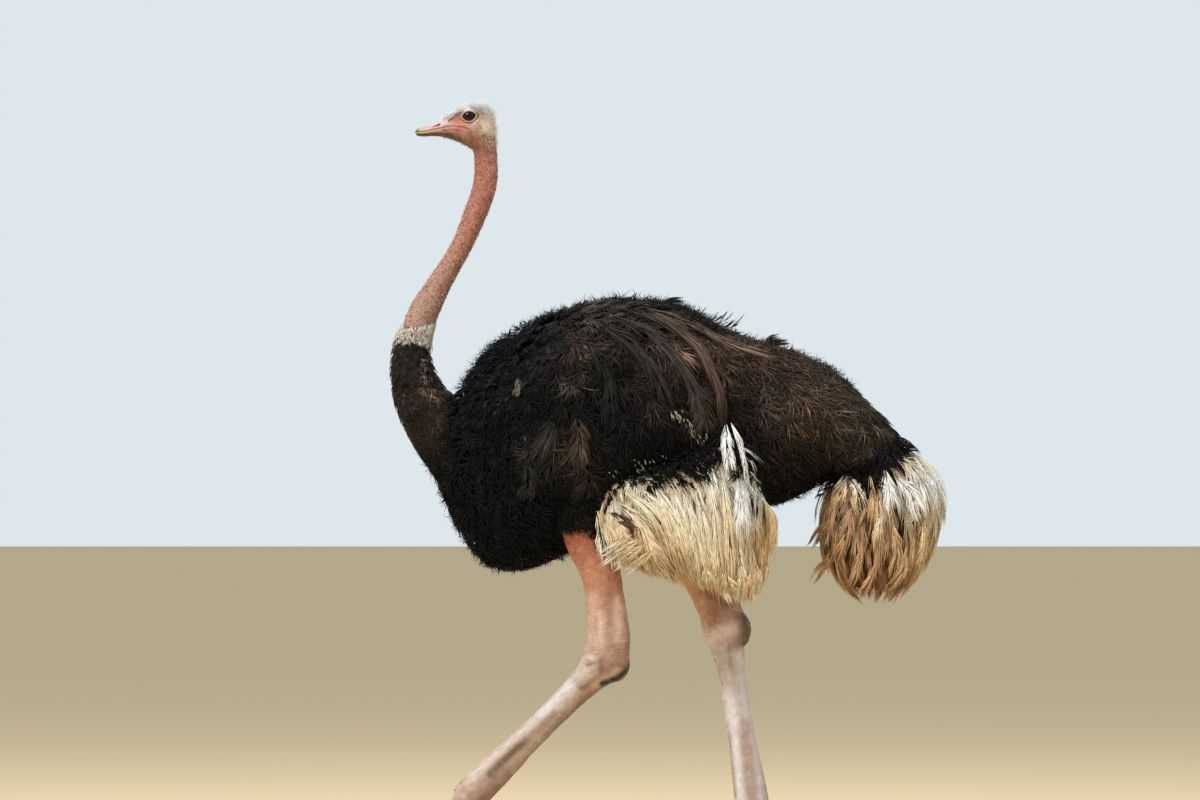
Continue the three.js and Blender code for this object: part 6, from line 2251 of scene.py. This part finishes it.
# %% A node group that sets a small shape on points
def scatter_group(name, shape, sizes):
    """Its shape's Z axis follows the points' "out" and its Y axis their "lie"."""
    group = bpy.data.node_groups.new(name, "GeometryNodeTree")
    inputs = (("Geometry", "Geometry", None), ("Width", "Float", sizes[0]), ("Length", "Float", sizes[1]),
              ("Height", "Float", sizes[2]), ("Unevenness", "Float", 0.15), ("Seed", "Int", 1),
              ("Material", "Material", None))
    for label, kind, value in inputs:
        socket = group.interface.new_socket(label, in_out="INPUT", socket_type=f"NodeSocket{kind}")
        if value is not None:
            socket.default_value = value
    group.interface.new_socket("Geometry", in_out="OUTPUT", socket_type="NodeSocketGeometry")
    given, gives = group.nodes.new("NodeGroupInput").outputs, group.nodes.new("NodeGroupOutput").inputs
    piece = shape(group)
    lengths = [(0, given["Width"]), (1, given["Length"]), (2, given["Height"])]
    size = node(group, "CombineXYZ", lengths).outputs[0]
    low = node(group, "Math", [(0, 1.0), (1, given["Unevenness"])], operation="SUBTRACT").outputs[0]
    high = node(group, "Math", [(0, 1.0), (1, given["Unevenness"])], operation="ADD").outputs[0]
    chance = node(group, "FunctionNodeRandomValue", [("Seed", given["Seed"])], data_type="FLOAT")
    group.links.new(low, chance.inputs[2])
    group.links.new(high, chance.inputs[3])
    size = node(group, "VectorMath", [(0, size), ("Scale", chance.outputs[1])], operation="SCALE").outputs[0]
    out, lie = (node(group, "GeometryNodeInputNamedAttribute", [("Name", label)],
                     data_type="FLOAT_VECTOR").outputs[0] for label in ("out", "lie"))
    turned = node(group, "FunctionNodeAlignRotationToVector", [("Vector", out)], axis="Z").outputs[0]
    turned = node(group, "FunctionNodeAlignRotationToVector", [("Rotation", turned), ("Vector", lie)],
                  axis="Y", pivot_axis="Z").outputs[0]
    placed = node(group, "GeometryNodeInstanceOnPoints", [
        ("Points", given["Geometry"]), ("Instance", piece), ("Rotation", turned), ("Scale", size)]).outputs[0]
    real = node(group, "GeometryNodeRealizeInstances", [(0, placed)]).outputs[0]
    final = node(group, "GeometryNodeSetMaterial", [("Geometry", real), ("Material", given["Material"])])
    group.links.new(final.outputs[0], gives[0])
    return group


def plate_shape(tree):
    """A ball of one unit, which flattens to a plate."""
    ball = node(tree, "GeometryNodeMeshIcoSphere", [("Radius", 0.5), ("Subdivisions", 2)]).outputs[0]
    return node(tree, "GeometryNodeSetShadeSmooth", [(0, ball)]).outputs[0]


def lash_shape(tree):
    """A thin spike of one unit."""
    return node(tree, "GeometryNodeMeshCone", [("Vertices", 5), ("Radius Top", 0.08), ("Radius Bottom", 0.5),
                                               ("Depth", 1.0)]).outputs[0]


def scattered(name, group, spots, out, lie, colours, slot, **values):
    """A finished piece of one group's shapes, set on these spots."""
    mesh = bpy.data.meshes.new(name)
    mesh.from_pydata([tuple(spot) for spot in spots], [], [])
    for label, ways in (("out", out), ("lie", lie)):
        layer = mesh.attributes.new(label, "FLOAT_VECTOR", "POINT")
        layer.data.foreach_set("vector", np.ascontiguousarray(ways, dtype=np.float32).ravel())
    colour_layer(mesh, "markings_and_shading", colours)
    made = linked(name, mesh)
    modifier = made.modifiers.new("scatter", "NODES")
    modifier.node_group = group
    for socket in group.interface.items_tree:
        if socket.in_out == "INPUT" and socket.name in values:
            modifier[socket.identifier] = values[socket.name]
    baked(made)
    finished(made, slot)
    triangles = sum(len(face.vertices) - 2 for face in made.data.polygons)
    print(f"{name}: {len(spots)} shapes, {triangles} triangles")


# %% Scutes down the shanks and over the toes
SCUTE_STEP, SCUTE_TURN = 9.5, 13  # millimetres down the shank, degrees to each side of its front
SHANK_SEAT, TOE_SEAT = 0.5, 0.9  # how deep a plate's middle sits, in millimetres
scutes = scatter_group("scutes", plate_shape, (0.0135, 0.0115, 0.0034))
for name, leg in STRIDE.items():
    guide = leg_guides[name]
    spots, out, lie = [], [], []
    for row, station in enumerate(np.arange(70, 512, SCUTE_STEP)):
        for hand in (-1, 1):
            i = int(np.abs(guide["stations"] - station - (hand + 1) * SCUTE_STEP / 4).argmin())
            j = round((270 + hand * SCUTE_TURN) / 360 * LEG_COLUMNS) % LEG_COLUMNS
            spots.append(guide["points"][i, j] - guide["rays"][i, j] * SHANK_SEAT * MM)
            out.append(guide["rays"][i, j])
            lie.append(guide["tangent"][i])
    round_it = np.linspace(0, 2 * np.pi, 36, endpoint=False)
    for table, count in ((LARGE_TOE, 17), (SMALL_TOE, 12)):
        form = Form(toe_rows(leg, table), square=2.3)
        for t in np.linspace(0.12, 0.86, count):
            place, normal, along, _ = form.at(np.full(36, t), round_it)
            top = int(place[:, 2].argmax())
            spots.append(place[top] - normal[top] * TOE_SEAT * MM)
            out.append(normal[top])
            lie.append(along[top])
    spots, out, lie = (np.array(part) for part in (spots, out, lie))
    colours = leg_colour(spots) * SKIN_DEPTH * 1.04
    scattered(f"scutes_{name}", scutes, spots, out, unit(lie), colours, "scute", Material=scute_skin,
              Seed=5 if name == "left" else 6, Unevenness=0.12)

# %% Lashes on the upper lids
LASHES = 26
lashes = scatter_group("lashes", lash_shape, (0.0006, 0.0006, 0.008))
angle = np.radians(np.linspace(14, 166, LASHES))
u = APERTURE[0] * np.cos(angle)
w = APERTURE[1] * (1 - LID_BOW * np.cos(angle) ** 2) * np.sin(angle)
c, s = math.cos(EYE_TILT), math.sin(EYE_TILT)
across, above = u * c - w * s, u * s + w * c
for name, leg in STRIDE.items():
    aside = EYE_ASIDE + np.sqrt((EYE_RADIUS + LID) ** 2 - across**2 - above**2) - 0.6
    roots_at = np.stack([EYE_BEHIND + across, leg["side"] * aside, EYE_ABOVE + above], 1)
    spots = (roots_at + np.array([SHIFT + TIP_X, 0, TIP_Z])) * MM
    out = unit(np.stack([across / 40, np.full(LASHES, float(leg["side"])), 0.25 + above / 30], 1))
    scattered(f"lashes_{name}", lashes, spots, out, np.tile([1.0, 0, 0], (LASHES, 1)),
              np.tile(tint(30, 24, 22), (LASHES, 1)), "down", Material=lash_horn, Seed=7, Unevenness=0.2)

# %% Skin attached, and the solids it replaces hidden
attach(skin, "root")
FLESH_PARTS = ("head", "neck", "trunk", "thigh", "shank", "foot", "small_toe")
FLESH = [name for name in frame["nodes"] if name.startswith(FLESH_PARTS)]
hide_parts(*FLESH)
